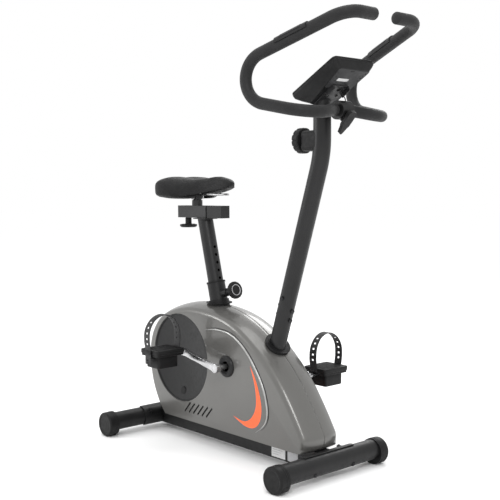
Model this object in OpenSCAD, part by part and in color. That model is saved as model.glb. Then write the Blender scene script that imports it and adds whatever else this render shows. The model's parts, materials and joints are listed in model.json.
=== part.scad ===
// Upright magnetic exercise bike.
// X runs forward, from the saddle to the handlebar, Y to the rider's left, Z up.
// The origin is on the floor under the middle of the whole bike. Each module is
// drawn from the crank axle, and place() moves it to that origin.

/* [Base] */
// Distance between the two stabilizer tubes
wheelbase = 805; // [800:1:812]
// Crank axle to the front stabilizer tube
front_reach = 366; // [363:1:370]
// Outer radius of the stabilizer tubes
stab_r = 30; // [29:0.5:30]
// Half length of the front stabilizer, over its caps
front_half = 221; // [215:1:235]
// Half length of the rear stabilizer, over its caps
rear_half = 246; // [244:1:260]
// Width of the floor beam
beam_w = 50; // [46:1:50]

/* [Shell] */
// Half width of the shell at the parting plane's flat side
shell_half = 73; // [72:1:76]
// Wall thickness of the plastic shell
shell_wall = 3; // [2.5:0.5:3]
// Radius of the round recessed cover
cover_r = 145; // [138:1:145]

/* [Drive] */
// Height of the crank axle
crank_z = 279; // [277:1:282]
// Length of each crank arm
crank_len = 170; // [160:1:172]
// Angle of the right crank above the horizontal, pointing back
crank_angle = 10.5; // [0:0.5:15]
// Distance of each pedal's middle from the centre plane
pedal_y = 196; // [194:1:198]
// Radius of the drive pulley
pulley_r = 110; // [100:1:112]
// Radius of the small pulley on the flywheel shaft
small_r = 14; // [12:1:15]
// Radius of the flywheel
flywheel_r = 120; // [110:1:120]

/* [Seat] */
// Lean of the seat tube from the vertical
seat_lean = 14.2; // [14:0.1:14.4]
// Outer radius of the seat post
seat_post_r = 25; // [24:0.5:25]
// Length of the saddle
saddle_len = 296; // [280:1:300]
// Half width of the saddle
saddle_half = 127; // [110:1:128]

/* [Handlebar] */
// Outer radius of the front post
post_r = 25.4; // [25:0.1:25.6]
// Lean of the front post's lower stretch from the vertical
post_lean = 18.45; // [18.3:0.05:18.6]
// Outer radius of the bare bar
bar_r = 12.7; // [12:0.1:13]
// Outer radius of the foam grips
grip_r = 16.7; // [16:0.1:17.5]

/* [Console] */
// Tilt of the console's face from the horizontal
console_tilt = 28; // [27:0.5:29]
// Width of the console
console_w = 160; // [150:1:170]
// Length of the console's face
console_l = 188; // [186:1:192]

/* [Hidden] */
$fn = 72;

// Places along X, from the crank axle
front_x = front_reach;
rear_x = front_reach - wheelbase;
tube_z = 45;
tube_wall = 2;
saddle_t = 4;
saddle_half_w = 100;
bolt_y = 78;
front_cap_r = 38.8;
rear_cap_r = 40.4;
cap_len = 35;
foot_cut = 0.3;
beam_top = tube_z + 30;

// Points of the right half of the handlebar; the bar is straight at the clamp
bar_x = 420;
bar_z = 1041;
bar_points = [[bar_x, 0, bar_z], [bar_x, -40, bar_z], [485, -161, 1018],
              [64, -255, 1111], [572, -145, 1273], [572, -42, 1273]];
bar_bends = [40, 78, 69, 62];
clamp_half = 22;

// The bike reaches from the rear caps to the front of the grips
origin_x = -(bar_points[5].x + grip_r + rear_x - rear_cap_r) / 2;

// Seat tube and front post: feet on the beam
seat_foot_x = -24.7;
post_foot_x = 60;
sleeve_r = 29;
sleeve_bore = 26.5;
sleeve_len = 463;
pin_s = 424;
hole_pitch = 25.75;
stub_r = 23;
stub_bore = 20.5;
post_bore = 23.2;
post_top_x = 343.7;
post_bend_z = beam_top + (post_top_x - post_foot_x) / tan(post_lean);
post_start = 269;

// Seat slider: the sleeve runs on a fixed rail
slide_z = 735;
slide_h = 40;
slide_half = 18;
slide_rear = -316;
slide_front = -167;
nose_front = -88;
stem_x = -233;
stem_top = 808;
knob_x = -282;

// Console: its own frame starts at the bottom edge of the face
console_x = 301;
console_z = 1085.6;
back_low = [21, -39.4];
back_high = [178, -25.1];
back_slope = atan((back_high.y - back_low.y) / (back_high.x - back_low.x));
bracket_t = 3;

// Tension knob on the back of the post
tension_z = 965;
cable_z = 941;
cable_r = 2.5;
cable_bore = 4.5;

// Drive
fly_x = -241;
fly_z = 274;
axle_r = 8.5;
fly_axle_r = 8;
belt_y0 = 34.5;
belt_y1 = 46.5;
belt_gap = 0.3;
belt_t = 3;
running = 0.05;
idler_r = 16;
hub_ring_r = 34;
arm_y = 117;
yoke_in = flywheel_r + 3.5;
yoke_out = yoke_in + 8;
yoke_a0 = 235;
yoke_a1 = 305;
yoke_pivot = [fly_x + 127 * cos(yoke_a0), fly_z + 127 * sin(yoke_a0)];

// Lower belt run, and the idler that presses on it from outside
belt_d = [-fly_x, crank_z - fly_z];
belt_len = norm(belt_d);
belt_turn = atan2(belt_d.y, belt_d.x);
belt_a = asin((pulley_r - small_r) / belt_len);
run_normal = -90 - belt_a + belt_turn;
run_mid = ([0, crank_z] + [fly_x, fly_z] + (pulley_r + small_r)
          * [cos(run_normal), sin(run_normal)]) / 2;
idler_pos = run_mid + (belt_t + 2 * belt_gap + idler_r)
          * [cos(run_normal), sin(run_normal)];

// Outline of the shell at its parting plane, from the back foot over the top
shell_points = [[-352, 70], [-395, 120], [-425, 180], [-438, 245], [-434, 305],
    [-412, 360], [-368, 408], [-300, 440], [-210, 458], [-110, 457], [-20, 443],
    [60, 414], [135, 368], [200, 315], [255, 258], [302, 194], [335, 142],
    [350, 112], [346, 82], [325, 70]];
shell_steps = 3;
edge_r = 22;
crown_y = 60;
crown_drop = 13.3;
edge_a0 = 24;

// ---- Shared shapes -------------------------------------------------------

module place() { translate([origin_x, 0, 0]) children(); }

module along_y(y0, y1) {
    translate([0, y1, 0]) rotate([90, 0, 0]) linear_extrude(y1 - y0) children();
}

module disc_y(x, z, r, y0, y1) {
    along_y(y0, y1) translate([x, z]) circle(r);
}

module turned_y(x, y, z, out) {
    translate([x, y, z]) rotate([out > 0 ? -90 : 90, 0, 0]) rotate_extrude() children();
}

module rounded(w, h, r) {
    square([w - 2 * r, h], center = true);
    square([w, h - 2 * r], center = true);
    for (i = [-1, 1], j = [-1, 1])
        translate([i * (w / 2 - r), j * (h / 2 - r)]) circle(r);
}

module sector(r0, r1, a0, a1) {
    steps = 6;
    difference() {
        intersection() {
            circle(r1);
            polygon(concat([[0, 0]], [for (i = [0:steps])
                2 * r1 * [cos(a0 + (a1 - a0) * i / steps), sin(a0 + (a1 - a0) * i / steps)]]));
        }
        circle(r0);
    }
}

module both_sides() {
    children();
    mirror([0, 1, 0]) children();
}

function unit(v) = v / norm(v);

module along(a, b) {
    z = unit(b - a);
    x = unit(cross(abs(z.y) < 0.9 ? [0, 1, 0] : [1, 0, 0], z));
    y = cross(z, x);
    multmatrix([[x.x, y.x, z.x, a.x], [x.y, y.y, z.y, a.y],
                [x.z, y.z, z.z, a.z], [0, 0, 0, 1]]) children();
}

module rod(a, b, r) {
    along(a, b) cylinder(h = norm(b - a), r = r);
}

// A bore through a row of points, a little longer than each stretch
module bore(p, r) {
    for (i = [0:len(p) - 2]) {
        d = r / 2 * unit(p[i + 1] - p[i]);
        rod(p[i] - d, p[i + 1] + d, r);
    }
}

module ring_2d(ro, ri) {
    difference() {
        circle(ro);
        if (ri > 0) circle(ri);
    }
}

// A bent tube through corner points, each inner corner with its bend radius
joint_gap = 0.01;
arc_step = 40;
function corner_angle(p, i) = acos(unit(p[i - 1] - p[i]) * unit(p[i + 1] - p[i]));
function tangent(p, rads, i) =
    (i < 1 || i > len(p) - 2) ? 0 : rads[i - 1] / tan(corner_angle(p, i) / 2);

module bent_tube(p, rads, ro, ri) {
    for (i = [0:len(p) - 2]) {
        d = unit(p[i + 1] - p[i]);
        a = p[i] + tangent(p, rads, i) * d;
        b = p[i + 1] - tangent(p, rads, i + 1) * d;
        along(a + joint_gap * d, b) linear_extrude(norm(b - a) - 2 * joint_gap) ring_2d(ro, ri);
    }
    for (i = [1:len(p) - 2]) {
        u = unit(p[i - 1] - p[i]);
        w = unit(p[i + 1] - p[i]);
        ang = corner_angle(p, i);
        c = p[i] + unit(u + w) * rads[i - 1] / sin(ang / 2);
        x = unit(p[i] + tangent(p, rads, i) * u - c);
        z = unit(cross(x, p[i] + tangent(p, rads, i) * w - c));
        y = cross(z, x);
        // Each bend is several short arcs, so that the space inside it stays open
        arcs = ceil((180 - ang) / arc_step);
        arc = (180 - ang) / arcs;
        gap_angle = joint_gap / rads[i - 1] * 180 / PI;
        multmatrix([[x.x, y.x, z.x, c.x], [x.y, y.y, z.y, c.y],
                    [x.z, y.z, z.z, c.z], [0, 0, 0, 1]])
            for (k = [0:arcs - 1])
                rotate([0, 0, k * arc]) rotate_extrude(angle = arc - gap_angle)
                    translate([rads[i - 1], 0]) ring_2d(ro, ri);
    }
}

// A cord swept through its points with an eight-sided section
function sweep_dir(p, i) = unit(p[min(i + 1, len(p) - 1)] - p[max(i - 1, 0)]);
function sweep_ring(c, d, r) =
    let (x = unit(cross(abs(d.y) < 0.9 ? [0, 1, 0] : [1, 0, 0], d)), y = cross(d, x))
    [for (k = [0:7]) c + r * (cos(45 * k) * x + sin(45 * k) * y)];

module cord(p, r) {
    n = len(p);
    polyhedron(
        points = [for (i = [0:n - 1]) each sweep_ring(p[i], sweep_dir(p, i), r)],
        faces = concat(
            [[for (k = [0:7]) k]],
            [for (i = [0:n - 2], k = [0:7])
                [8 * i + k, 8 * i + 8 + k, 8 * i + 8 + (k + 1) % 8, 8 * i + (k + 1) % 8]],
            [[for (k = [7:-1:0]) 8 * (n - 1) + k]]));
}

function blend(a, b, c, d, t) =
    0.5 * (2 * b + (c - a) * t + (2 * a - 5 * b + 4 * c - d) * t * t
    + (3 * b - a - 3 * c + d) * t * t * t);
function curve(p, n) = concat(
    [for (i = [0:len(p) - 2], k = [0:n - 1])
        blend(p[max(i - 1, 0)], p[i], p[i + 1], p[min(i + 2, len(p) - 1)], k / n)],
    [p[len(p) - 1]]);

// ---- Base ----------------------------------------------------------------

module base_beam() color("#2a2b2d") difference() {
    translate([rear_x, 0, tube_z]) rotate([90, 0, 90]) linear_extrude(wheelbase)
        difference() {
            rounded(beam_w, 60, 4);
            rounded(beam_w - 2 * tube_wall, 60 - 2 * tube_wall, 3);
        }
    for (x = [rear_x, front_x])
        disc_y(x, tube_z, stab_r + saddle_t, -beam_w, beam_w);
}

// Bolts run through each tube and its saddle, up and inwards
module bolt_axes() {
    for (y = [-bolt_y, bolt_y]) {
        translate([rear_x, y, tube_z]) rotate([0, 56, 0]) children();
        translate([front_x, y, tube_z]) rotate([0, -56, 0]) children();
    }
}

module tube_saddles() color("#2a2b2d") difference() {
    union() {
        along_y(-saddle_half_w, saddle_half_w) translate([rear_x, tube_z])
            sector(stab_r, stab_r + saddle_t, -65, 100);
        along_y(-saddle_half_w, saddle_half_w) translate([front_x, tube_z])
            sector(stab_r, stab_r + saddle_t, 80, 245);
    }
    bolt_axes() cylinder(h = 60, r = 4.3);
}

module stabilizer(x, half) {
    difference() {
        along_y(-half, half) translate([x, tube_z]) ring_2d(stab_r, stab_r - tube_wall);
        bolt_axes() cylinder(h = 80, r = 4.3, center = true);
    }
}

module rear_stabilizer() color("#2a2b2d") stabilizer(rear_x, rear_half - cap_len - 0.3);
module front_stabilizer() color("#2a2b2d") stabilizer(front_x, front_half - cap_len);

// A plastic end cap: an off-centre disc with a plug that enters the tube
module end_cap(x, r, half, rim) {
    edge = 5;
    difference() {
        union() {
            turned_y(x, half - cap_len, r - foot_cut, 1)
                polygon(concat([[0, 0], [r, 0]],
                    [for (a = [0:15:90]) [r - edge + edge * cos(a), cap_len - edge + edge * sin(a)]],
                    [[r - 9, cap_len], [r - 10, cap_len - rim], [0, cap_len - rim]]));
            disc_y(x, tube_z, stab_r - tube_wall - running, half - cap_len - 25, half - cap_len);
        }
        translate([x - 50, half - 50, -10]) cube([100, 100, 10]);
    }
}

wheel_pos = [front_x + 13.3, 25.5];

module front_cap() {
    y0 = front_half - cap_len + 9;
    difference() {
        end_cap(front_x, front_cap_r, front_half, 0.5);
        disc_y(wheel_pos.x, wheel_pos.y, 24, y0, y0 + 18);
    }
    disc_y(wheel_pos.x, wheel_pos.y, 3, y0, y0 + 18);
}

module front_caps() color("#232325") both_sides() front_cap();

module wheel() color("#1d1d1f") {
    y0 = front_half - cap_len + 10;
    along_y(y0, y0 + 16) translate([wheel_pos.x, wheel_pos.y]) ring_2d(22, 3 + running);
}
module wheel_left() wheel();
module wheel_right() mirror([0, 1, 0]) wheel();

module rear_cap_left() color("#232325") end_cap(rear_x, rear_cap_r, rear_half, 1.5);
module rear_cap_right() mirror([0, 1, 0]) rear_cap_left();

// ---- Seat tube, front post and drive frame -------------------------------

module on_seat_axis() {
    translate([seat_foot_x, 0, beam_top]) rotate([0, -seat_lean, 0]) children();
}

module on_post_axis() {
    translate([post_foot_x, 0, beam_top]) rotate([0, post_lean, 0]) children();
}

module above_beam() {
    intersection() {
        children();
        translate([-600, -300, beam_top]) cube([1200, 600, 1400]);
    }
}

module seat_sleeve() color("#2a2b2d") {
    difference() {
        above_beam() on_seat_axis() translate([0, 0, -30])
            linear_extrude(sleeve_len + 30) ring_2d(sleeve_r, sleeve_bore);
        on_seat_axis() translate([0, 0, pin_s]) rotate([0, 90, 0]) cylinder(h = 60, r = 7);
    }
    difference() {
        on_seat_axis() translate([20, 0, pin_s]) rotate([0, 90, 0])
            linear_extrude(32) ring_2d(13, 5 + running);
        on_seat_axis() cylinder(h = 500, r = 28);
    }
}

module seat_bushing() color("#1b1b1d") difference() {
    on_seat_axis() {
        translate([0, 0, sleeve_len - 110])
            linear_extrude(110) ring_2d(sleeve_bore, seat_post_r + running);
        translate([0, 0, sleeve_len]) linear_extrude(5) ring_2d(31, seat_post_r + running);
    }
    on_seat_axis() translate([0, 0, pin_s]) rotate([0, 90, 0]) cylinder(h = 60, r = 7);
}

module post_socket() color("#2a2b2d") difference() {
    above_beam() on_post_axis() translate([0, 0, -30])
        linear_extrude(500) ring_2d(stub_r, stub_bore);
    bore([for (i = [14:21]) cable_points[i]], cable_r + 2.5);
    post_bolt_places() cylinder(h = 80, r = 4.2, center = true);
}

module main_post() color("#2a2b2d") difference() {
    bent_tube([[post_foot_x + post_start * sin(post_lean), 0,
                beam_top + post_start * cos(post_lean)],
               [post_top_x, 0, post_bend_z], [post_top_x, 0, 1120]],
              [300], post_r, post_bore);
    in_console() back_plane() translate([-60, -60, -bracket_t]) cube([200, 120, 100]);
    rod([300, 0, cable_z], [330, 0, cable_z], cable_bore);
    post_bolt_places() cylinder(h = 80, r = 4.2, center = true);
}

// One bolt through the side of the post and two through its back
module post_bolt_places() {
    on_post_axis() translate([0, 0, 453]) rotate([90, 0, 0]) children();
    for (s = [390, 420]) on_post_axis() translate([0, 0, s]) rotate([0, -90, 0]) children();
}

module bolt(grip, head_r, nut_r) {
    cylinder(h = grip, r = 4);
    rotate([180, 0, 0]) rotate_extrude()
        polygon(concat([[0, 0]], [for (a = [0:18:90]) head_r * [cos(a), 0.6 * sin(a)]]));
    translate([0, 0, grip]) cylinder(h = 1.6, r = nut_r + 2.5);
    translate([0, 0, grip + 1.6]) cylinder(h = 6.5, r = nut_r, $fn = 6);
    translate([0, 0, grip + 8.1]) cylinder(h = 2.5, r = 0.8 * nut_r);
}

module frame_bolts() color("#3a3b3e") {
    bolt_axes() translate([0, 0, -stab_r]) bolt(2 * stab_r + saddle_t, 7.5, 7);
    post_bolt_places() translate([0, 0, -post_r]) {
        cylinder(h = 2 * post_r, r = 4);
        translate([0, 0, 2 * post_r]) cylinder(h = 5, r = 6.5);
        translate([0, 0, -5]) cylinder(h = 5, r = 6.5);
    }
}

fork_y = 25;
fork_t = 4;

module drive_frame() color("#3b3c3f") {
    // bottom bracket on its strut
    difference() {
        union() {
            disc_y(0, crank_z, 21, -34, 34);
            translate([6, -18, beam_top]) cube([27, 36, crank_z - beam_top]);
        }
        disc_y(0, crank_z, 17, -35, 35);
    }
    // two fork plates carry the flywheel shaft
    difference() {
        both_sides() translate([fly_x - 20, fork_y, 58]) cube([40, fork_t, fly_z - 36]);
        disc_y(fly_x, fly_z, 16, -60, 60);
    }
    // idler plate and pin
    translate([idler_pos.x - 12, fork_y - 5, beam_top]) cube([24, 5, idler_pos.y - beam_top + 12]);
    disc_y(idler_pos.x, idler_pos.y, 5, fork_y, belt_y1 + 1);
    // lugs and pin of the magnet yoke
    both_sides() translate([yoke_pivot.x - 10, 20.3, beam_top])
        cube([20, 4, yoke_pivot.y - beam_top + 9]);
    disc_y(yoke_pivot.x, yoke_pivot.y, 4, -24.3, 24.3);
    // cable stop
    translate([-142, -37, beam_top]) cube([12, 19, 36]);
}

module bearings() color("#8d9094") both_sides() {
    along_y(24, 34) translate([0, crank_z]) ring_2d(17, axle_r + running);
    along_y(23, 31) translate([fly_x, fly_z]) ring_2d(16, fly_axle_r + running);
}

// ---- Shell ---------------------------------------------------------------

outline = curve(shell_points, shell_steps);
outline_n = len(outline);
function outline_tangent(i) =
    unit(outline[min(i + 1, outline_n - 1)] - outline[max(i - 1, 0)]);
// Insets move a point sideways and down, and leave the flat bottom where it is
function inset(i, d, lift) =
    let (t = outline_tangent(i), p = outline[i], z = p.y - d * max(t.x, 0))
    [p.x + d * t.y, max(z, shell_points[0].y + lift)];

edge_y = crown_y - edge_r * sin(edge_a0);
edge_d = crown_drop + edge_r * cos(edge_a0);
edge_stretch = shell_half - edge_y - edge_r;
shell_levels = concat(
    [for (k = [0:3]) [crown_y * k / 3, crown_drop * pow(k / 3, 2)]],
    [for (a = [38, 54, 72, 90])
        [edge_y + edge_r * sin(a) + edge_stretch * (a - edge_a0) / (90 - edge_a0),
         edge_d - edge_r * cos(a)]]);

module shell_solid(wall, start) {
    m = len(shell_levels);
    n = outline_n;
    polyhedron(
        points = [for (k = [0:m - 1], i = [0:n - 1])
            let (v = shell_levels[k], p = inset(i, v.y + wall, wall))
            [p.x, k == 0 ? start : v.x - wall, p.y]],
        faces = concat(
            [[for (i = [0:n - 1]) i]],
            [for (k = [0:m - 2], i = [0:n - 1])
                let (j = (i + 1) % n)
                [k * n + i, k * n + n + i, k * n + n + j, k * n + j]],
            [[for (i = [n - 1:-1:0]) (m - 1) * n + i]]));
}

vent_count = 6;
vent_x = -203;
vent_pitch = 22.5;

module vents() {
    for (i = [0:vent_count - 1])
        translate([vent_x + vent_pitch * i, 115]) rotate(-43) square([5.5, 46], center = true);
}

module shell_half_solid() {
    difference() {
        shell_solid(0, 0.15);
        shell_solid(shell_wall, -1);
        translate([-500, -1, 60]) cube([900, beam_w / 2 + 1.3, beam_top + 0.3 - 60]);
        translate([fly_x - 21, 0, 60]) cube([42, fork_y + fork_t + 0.8, 20]);
        disc_y(fly_x, fly_z, cover_r + 0.5, 50, 90);
        disc_y(0, crank_z, 20, 50, 90);
        on_seat_axis() translate([0, 0, 300]) cylinder(h = 200, r = 33.3);
        on_post_axis() translate([0, 0, 200]) cylinder(h = 200, r = 36.3);
        along_y(50, 90) vents();
    }
}

module shell_left() color("#85837f") shell_half_solid();
module shell_right() color("#85837f") mirror([0, 1, 0]) shell_half_solid();

// A dished round cover: its rim sits in the shell's wall
module round_covers() color("#333436") both_sides()
    turned_y(fly_x, shell_half - 12, fly_z, 1)
        polygon(concat(
            [[0, -4], [60, -3], [cover_r - 18, 1], [cover_r - 6, 4], [cover_r, 5],
             [cover_r, 10], [cover_r - 2, 10], [cover_r - 4, 8]],
            [[cover_r - 18, 4], [60, 0], [0, -1]]));

boot_z = 460.3;
boot_x = seat_foot_x - (boot_z - beam_top) * tan(seat_lean);

module hub_rings() color("#2a2b2c") both_sides()
    turned_y(0, shell_half, crank_z, 1)
        polygon([[axle_r + 8, 0], [hub_ring_r, 0], [hub_ring_r, 3], [hub_ring_r - 3, 7],
                 [24, 9], [axle_r + 8, 6]]);

// A sleeve in the shell's hole, with a flat flange that lies just over the shell
module seat_boot() color("#1e1e20") {
    on_seat_axis() translate([0, 0, 383]) linear_extrude(24) ring_2d(33, sleeve_r + 0.1);
    difference() {
        translate([boot_x, 0, boot_z]) cylinder(h = 3.5, r = 42);
        on_seat_axis() translate([0, 0, 350]) cylinder(h = 100, r = 32);
    }
}

// The post's boot ends in a flange that lies along the shell's slope
post_boot_s = 298.5;
post_boot_slope = 20.6;

module post_boot() color("#1e1e20") on_post_axis() difference() {
    union() {
        translate([0, 0, 266]) cylinder(h = 34, r = 36);
        translate([0, 0, post_boot_s]) rotate([0, post_boot_slope, 0]) cylinder(h = 5, r = 41);
    }
    translate([0, 0, post_boot_s + 5]) rotate([0, post_boot_slope, 0])
        translate([-100, -100, 0]) cube([200, 200, 60]);
    translate([0, 0, 200]) cylinder(h = 200, r = post_r + 0.1);
}

// ---- Console -------------------------------------------------------------

module in_console() {
    translate([console_x, 0, console_z]) rotate([0, -console_tilt, 0]) children();
}

// Moves the XY plane onto the console's back, with +Z into the console
module back_plane() {
    translate([back_low.x, 0, back_low.y]) rotate([0, -back_slope, 0]) children();
}

module console_outline(grow) {
    translate([console_l / 2, 0]) rounded(console_l + 2 * grow, console_w + 2 * grow, 14);
}

module console_body(shrink) {
    hull() {
        translate([0, 0, -6]) linear_extrude(6)
            translate([console_l / 2, 0])
                square([console_l - 8 - 2 * shrink, console_w - 2 * shrink], center = true);
        translate([0, 0, -6]) linear_extrude(6)
            translate([console_l / 2, 0])
                square([console_l - 2 * shrink, console_w - 8 - 2 * shrink], center = true);
        back_plane() translate([0, 0, shrink]) linear_extrude(1)
            polygon([[shrink, -46 + shrink], [157 - shrink, -63 + shrink],
                     [157 - shrink, 63 - shrink], [shrink, 46 - shrink]]);
    }
}

module console_back() color("#232426") in_console() difference() {
    console_body(0);
    difference() {
        console_body(2.5);
        translate([60, -100, -8]) cube([200, 200, 20]);
    }
    translate([6, 6 - console_w / 2, -8]) cube([console_l - 12, console_w - 12, 10]);
}

window = [62, 104];
window_x = 118;
button_x = 38;
button_y = 38;
button_r = 9;

module console_front() color("#1c1d1f") in_console() difference() {
    union() {
        linear_extrude(3) console_outline(0);
        translate([0, 0, 3]) linear_extrude(2) console_outline(-5);
    }
    translate([window_x, 0, 2.5]) linear_extrude(10) rounded(window.x, window.y, 5);
    for (y = [-button_y, 0, button_y])
        translate([button_x, y, -1]) cylinder(h = 10, r = button_r + 0.3);
}

module console_lens() color("#3c4640") in_console()
    translate([window_x, 0, 2.5]) linear_extrude(1.8)
        rounded(window.x - 0.4, window.y - 0.4, 5);

module button(y) color("#5c5f63") in_console() {
    translate([button_x, y, -0.5]) cylinder(h = 7.5, r = button_r);
}
module button_left() button(button_y);
module button_middle() button(0);
module button_right() button(-button_y);

module console_bracket() color("#54565a") in_console() back_plane() difference() {
    union() {
        translate([-2, -32, -bracket_t]) cube([92, 64, bracket_t]);
        translate([56, -32, -bracket_t - 12]) cube([34, 3, 12]);
        translate([56, 29, -bracket_t - 12]) cube([34, 3, 12]);
        for (x = [48, 80], y = [-20, 20])
            translate([x, y, -bracket_t - 3]) cylinder(h = 3, r = 4);
    }
    translate([76, 6, -10]) cylinder(h = 20, r = 8);
}

// ---- Handlebar and its clamp ---------------------------------------------

// The jaws meet in a plane through the bar that leans back
clamp_lean = 47;
jaw_r = 26;
bolt_drop = 19.5;

module in_clamp() {
    translate([bar_x, 0, bar_z]) rotate([0, 180 - clamp_lean, 0]) children();
}

module jaw(side) {
    difference() {
        intersection() {
            disc_y(bar_x, bar_z, jaw_r, -clamp_half, clamp_half);
            in_clamp() translate([-50, -50, side > 0 ? 0.5 : -100.5]) cube([100, 100, 100]);
        }
        disc_y(bar_x, bar_z, bar_r + running, -30, 30);
        in_clamp() translate([bolt_drop, 0, -60]) cylinder(h = 120, r = side > 0 ? 4.2 : 4.05);
    }
}

module clamp_rear_jaw() color("#26272a") {
    jaw(-1);
    difference() {
        translate([post_top_x, -15, bar_z - 12]) cube([bar_x - post_top_x - 20, 30, 28]);
        cylinder_at_post();
        disc_y(bar_x, bar_z, jaw_r, -30, 30);
        in_clamp() translate([bolt_drop, 0, -60]) cylinder(h = 60, r = 4.05);
    }
}

module cylinder_at_post() {
    translate([post_top_x, 0, 900]) cylinder(h = 200, r = post_r);
}

module clamp_front_jaw() color("#26272a") jaw(1);

knob_gap = 29;

module clamp_knob() color("#1d1d1f") in_clamp() translate([bolt_drop, 0, 0]) {
    translate([0, 0, -14]) cylinder(h = knob_gap + 14, r = 4);
    translate([0, 0, jaw_r + 0.5]) cylinder(h = knob_gap - jaw_r - 0.5, r = 9);
    translate([0, 0, knob_gap]) linear_extrude(11) {
        for (y = [-6, 6]) translate([-34, y]) circle(8.5);
        translate([28, 0]) circle(5);
        polygon([[-42.5, -6], [-42.5, 6], [-34, 14.5], [-4, 14], [30, 4.6], [30, -4.6],
                 [-4, -14], [-34, -14.5]]);
        circle(14);
    }
}

function flip(p) = [for (v = p) [v.x, -v.y, v.z]];
function backwards(p) = [for (i = [len(p) - 1:-1:0]) p[i]];

module handlebar_tube() color("#2b2c2e") {
    right = [for (i = [1:5]) bar_points[i]];
    bent_tube(concat(backwards(right), flip(right)),
              concat(backwards(bar_bends), bar_bends), bar_r, bar_r - 2);
}

module grip() {
    right = [for (i = [1:5]) bar_points[i]];
    start = [bar_x, -clamp_half - 4, bar_z];
    bent_tube(concat([start], right), bar_bends, grip_r, bar_r + 0.1);
    end = right[4];
    turned_y(end.x, end.y, end.z, 1) polygon(concat(
        [[0, 0], [grip_r, 0]],
        [for (a = [0:15:90]) [grip_r - 6 + 6 * cos(a), 1 + 6 * sin(a)]], [[0, 7]]));
}

module grip_right() color("#242527") grip();
module grip_left() color("#242527") mirror([0, 1, 0]) grip();

// Half sleeves with contact plates on the grips' upper stretches
module pulse_plates() color("#303134") both_sides() {
    a = bar_points[3];
    b = bar_points[4];
    d = unit(b - a);
    c = a + 0.69 * (b - a);
    difference() {
        along(c - 52 * d, c + 52 * d) linear_extrude(104) ring_2d(grip_r + 3, grip_r + 0.1);
        along(c - 80 * d, c + 80 * d) translate([0, -50, 0]) cube([100, 100, 160]);
    }
}

// ---- Tension knob and cables ---------------------------------------------

knob_face = 252;
base_face = 284;

module tension_base() color("#1f2022") difference() {
    translate([base_face, 0, tension_z - 2]) rotate([90, 0, 90])
        linear_extrude(post_top_x - base_face - 6) rounded(50, 58, 12);
    post_cutter();
    rod([base_face - 1, 0, tension_z], [base_face + 12, 0, tension_z], 5 + running);
    rod([base_face + 16, 0, cable_z], [post_top_x, 0, cable_z], cable_bore);
}

module post_cutter() {
    bent_tube([[post_foot_x + post_start * sin(post_lean), 0,
                beam_top + post_start * cos(post_lean)],
               [post_top_x, 0, post_bend_z], [post_top_x, 0, 1120]],
              [300], post_r + 0.05, 0);
}

module tension_knob() color("#18191b") {
    difference() {
        translate([base_face - 2, 0, tension_z]) rotate([0, -90, 0]) rotate_extrude()
            polygon([[0, 0], [36, 0], [37, 2], [37, 24], [33, 28], [18, 30], [0, 30.5]]);
        for (a = [0:30:330]) translate([0, 0, tension_z]) rotate([a, 0, 0])
            translate([knob_face - 5, 0, 40.2]) rotate([0, 90, 0]) cylinder(h = 29, r = 5);
    }
    rod([base_face - 2, 0, tension_z], [base_face + 11, 0, tension_z], 5);
}

cable_points = [[301, 0, 941], [312, 0, 941], [324, -2, 938], [331, -5, 930],
    [335, -8, 915], [334, -9, 890], [327, -9, 850], [313, -9, 805], [290, -9, 736],
    [258, -9, 641], [227, -9, 546], [195, -9, 452], [163, -9, 357], [132, -9, 262],
    [113, -9, 206], [100, -9, 167], [90, -10, 143], [76, -12, 126], [60, -16, 116],
    [44, -22, 109], [28, -27, 105], [10, -31, 102], [-20, -33, 100], [-60, -34, 100],
    [-100, -33, 100], [-130, -31, 101]];

module tension_cable() color("#151515") cord(cable_points, cable_r);

wire_points = [[404, 6, 1102], [406, 7, 1095], [411, 9, 1086], [418, 10, 1078],
    [422, 10, 1072], [423, 10, 1067]];

module sensor_wire() color("#141414") difference() {
    cord(wire_points, 1.5);
    in_console() back_plane() translate([-100, -100, 0]) cube([400, 200, 60]);
    disc_y(bar_x, bar_z, jaw_r, -30, 30);
}

// ---- Drive ---------------------------------------------------------------

// The belt's outline: round the pulley, then round the flywheel's small wheel
function belt_outline(grow) = concat(
    [for (k = [0:40]) let (a = belt_turn + (90 + belt_a) * (k / 20 - 1))
        [0, crank_z] + (pulley_r + grow) * [cos(a), sin(a)]],
    [for (k = [0:12]) let (a = belt_turn + 180 + (90 - belt_a) * (k / 6 - 1))
        [fly_x, fly_z] + (small_r + grow) * [cos(a), sin(a)]]);

module drive_belt() color("#161616") along_y(belt_y0 + 2, belt_y1 - 2) difference() {
    polygon(belt_outline(belt_t + belt_gap));
    polygon(belt_outline(belt_gap));
}

module crank_axle() color("#9a9da1") {
    disc_y(0, crank_z, axle_r, -109, 109);
    difference() {
        disc_y(0, crank_z, 15, 47, 60);
        disc_y(0, crank_z, axle_r - 1, 40, 70);
    }
}

module drive_pulley() color("#3c3d40") difference() {
    union() {
        along_y(belt_y0 + 4, belt_y1 - 4) translate([0, crank_z]) ring_2d(pulley_r, axle_r);
        along_y(belt_y0, belt_y1) translate([0, crank_z]) ring_2d(pulley_r, pulley_r - 10);
        along_y(belt_y0, belt_y1) translate([0, crank_z]) ring_2d(24, axle_r);
    }
    for (a = [0:60:300])
        disc_y(62 * cos(a), crank_z + 62 * sin(a), 22, 20, 60);
}

// One crank arm, drawn along +X with its axle at the origin
module crank_arm() {
    difference() {
        union() {
            along_y(arm_y - 6, arm_y + 6) {
                circle(15);
                polygon([[0, -12.5], [crank_len, -10], [crank_len, 10], [0, 12.5]]);
                translate([crank_len, 0]) circle(13);
            }
            along_y(104, arm_y + 6) circle(15);
        }
        along_y(90, 109.05) circle(axle_r + 0.02);
        along_y(109, 140) circle(10);
    }
    along_y(arm_y + 5.5, pedal_y + 44) translate([crank_len, 0]) circle(6);
}

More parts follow.
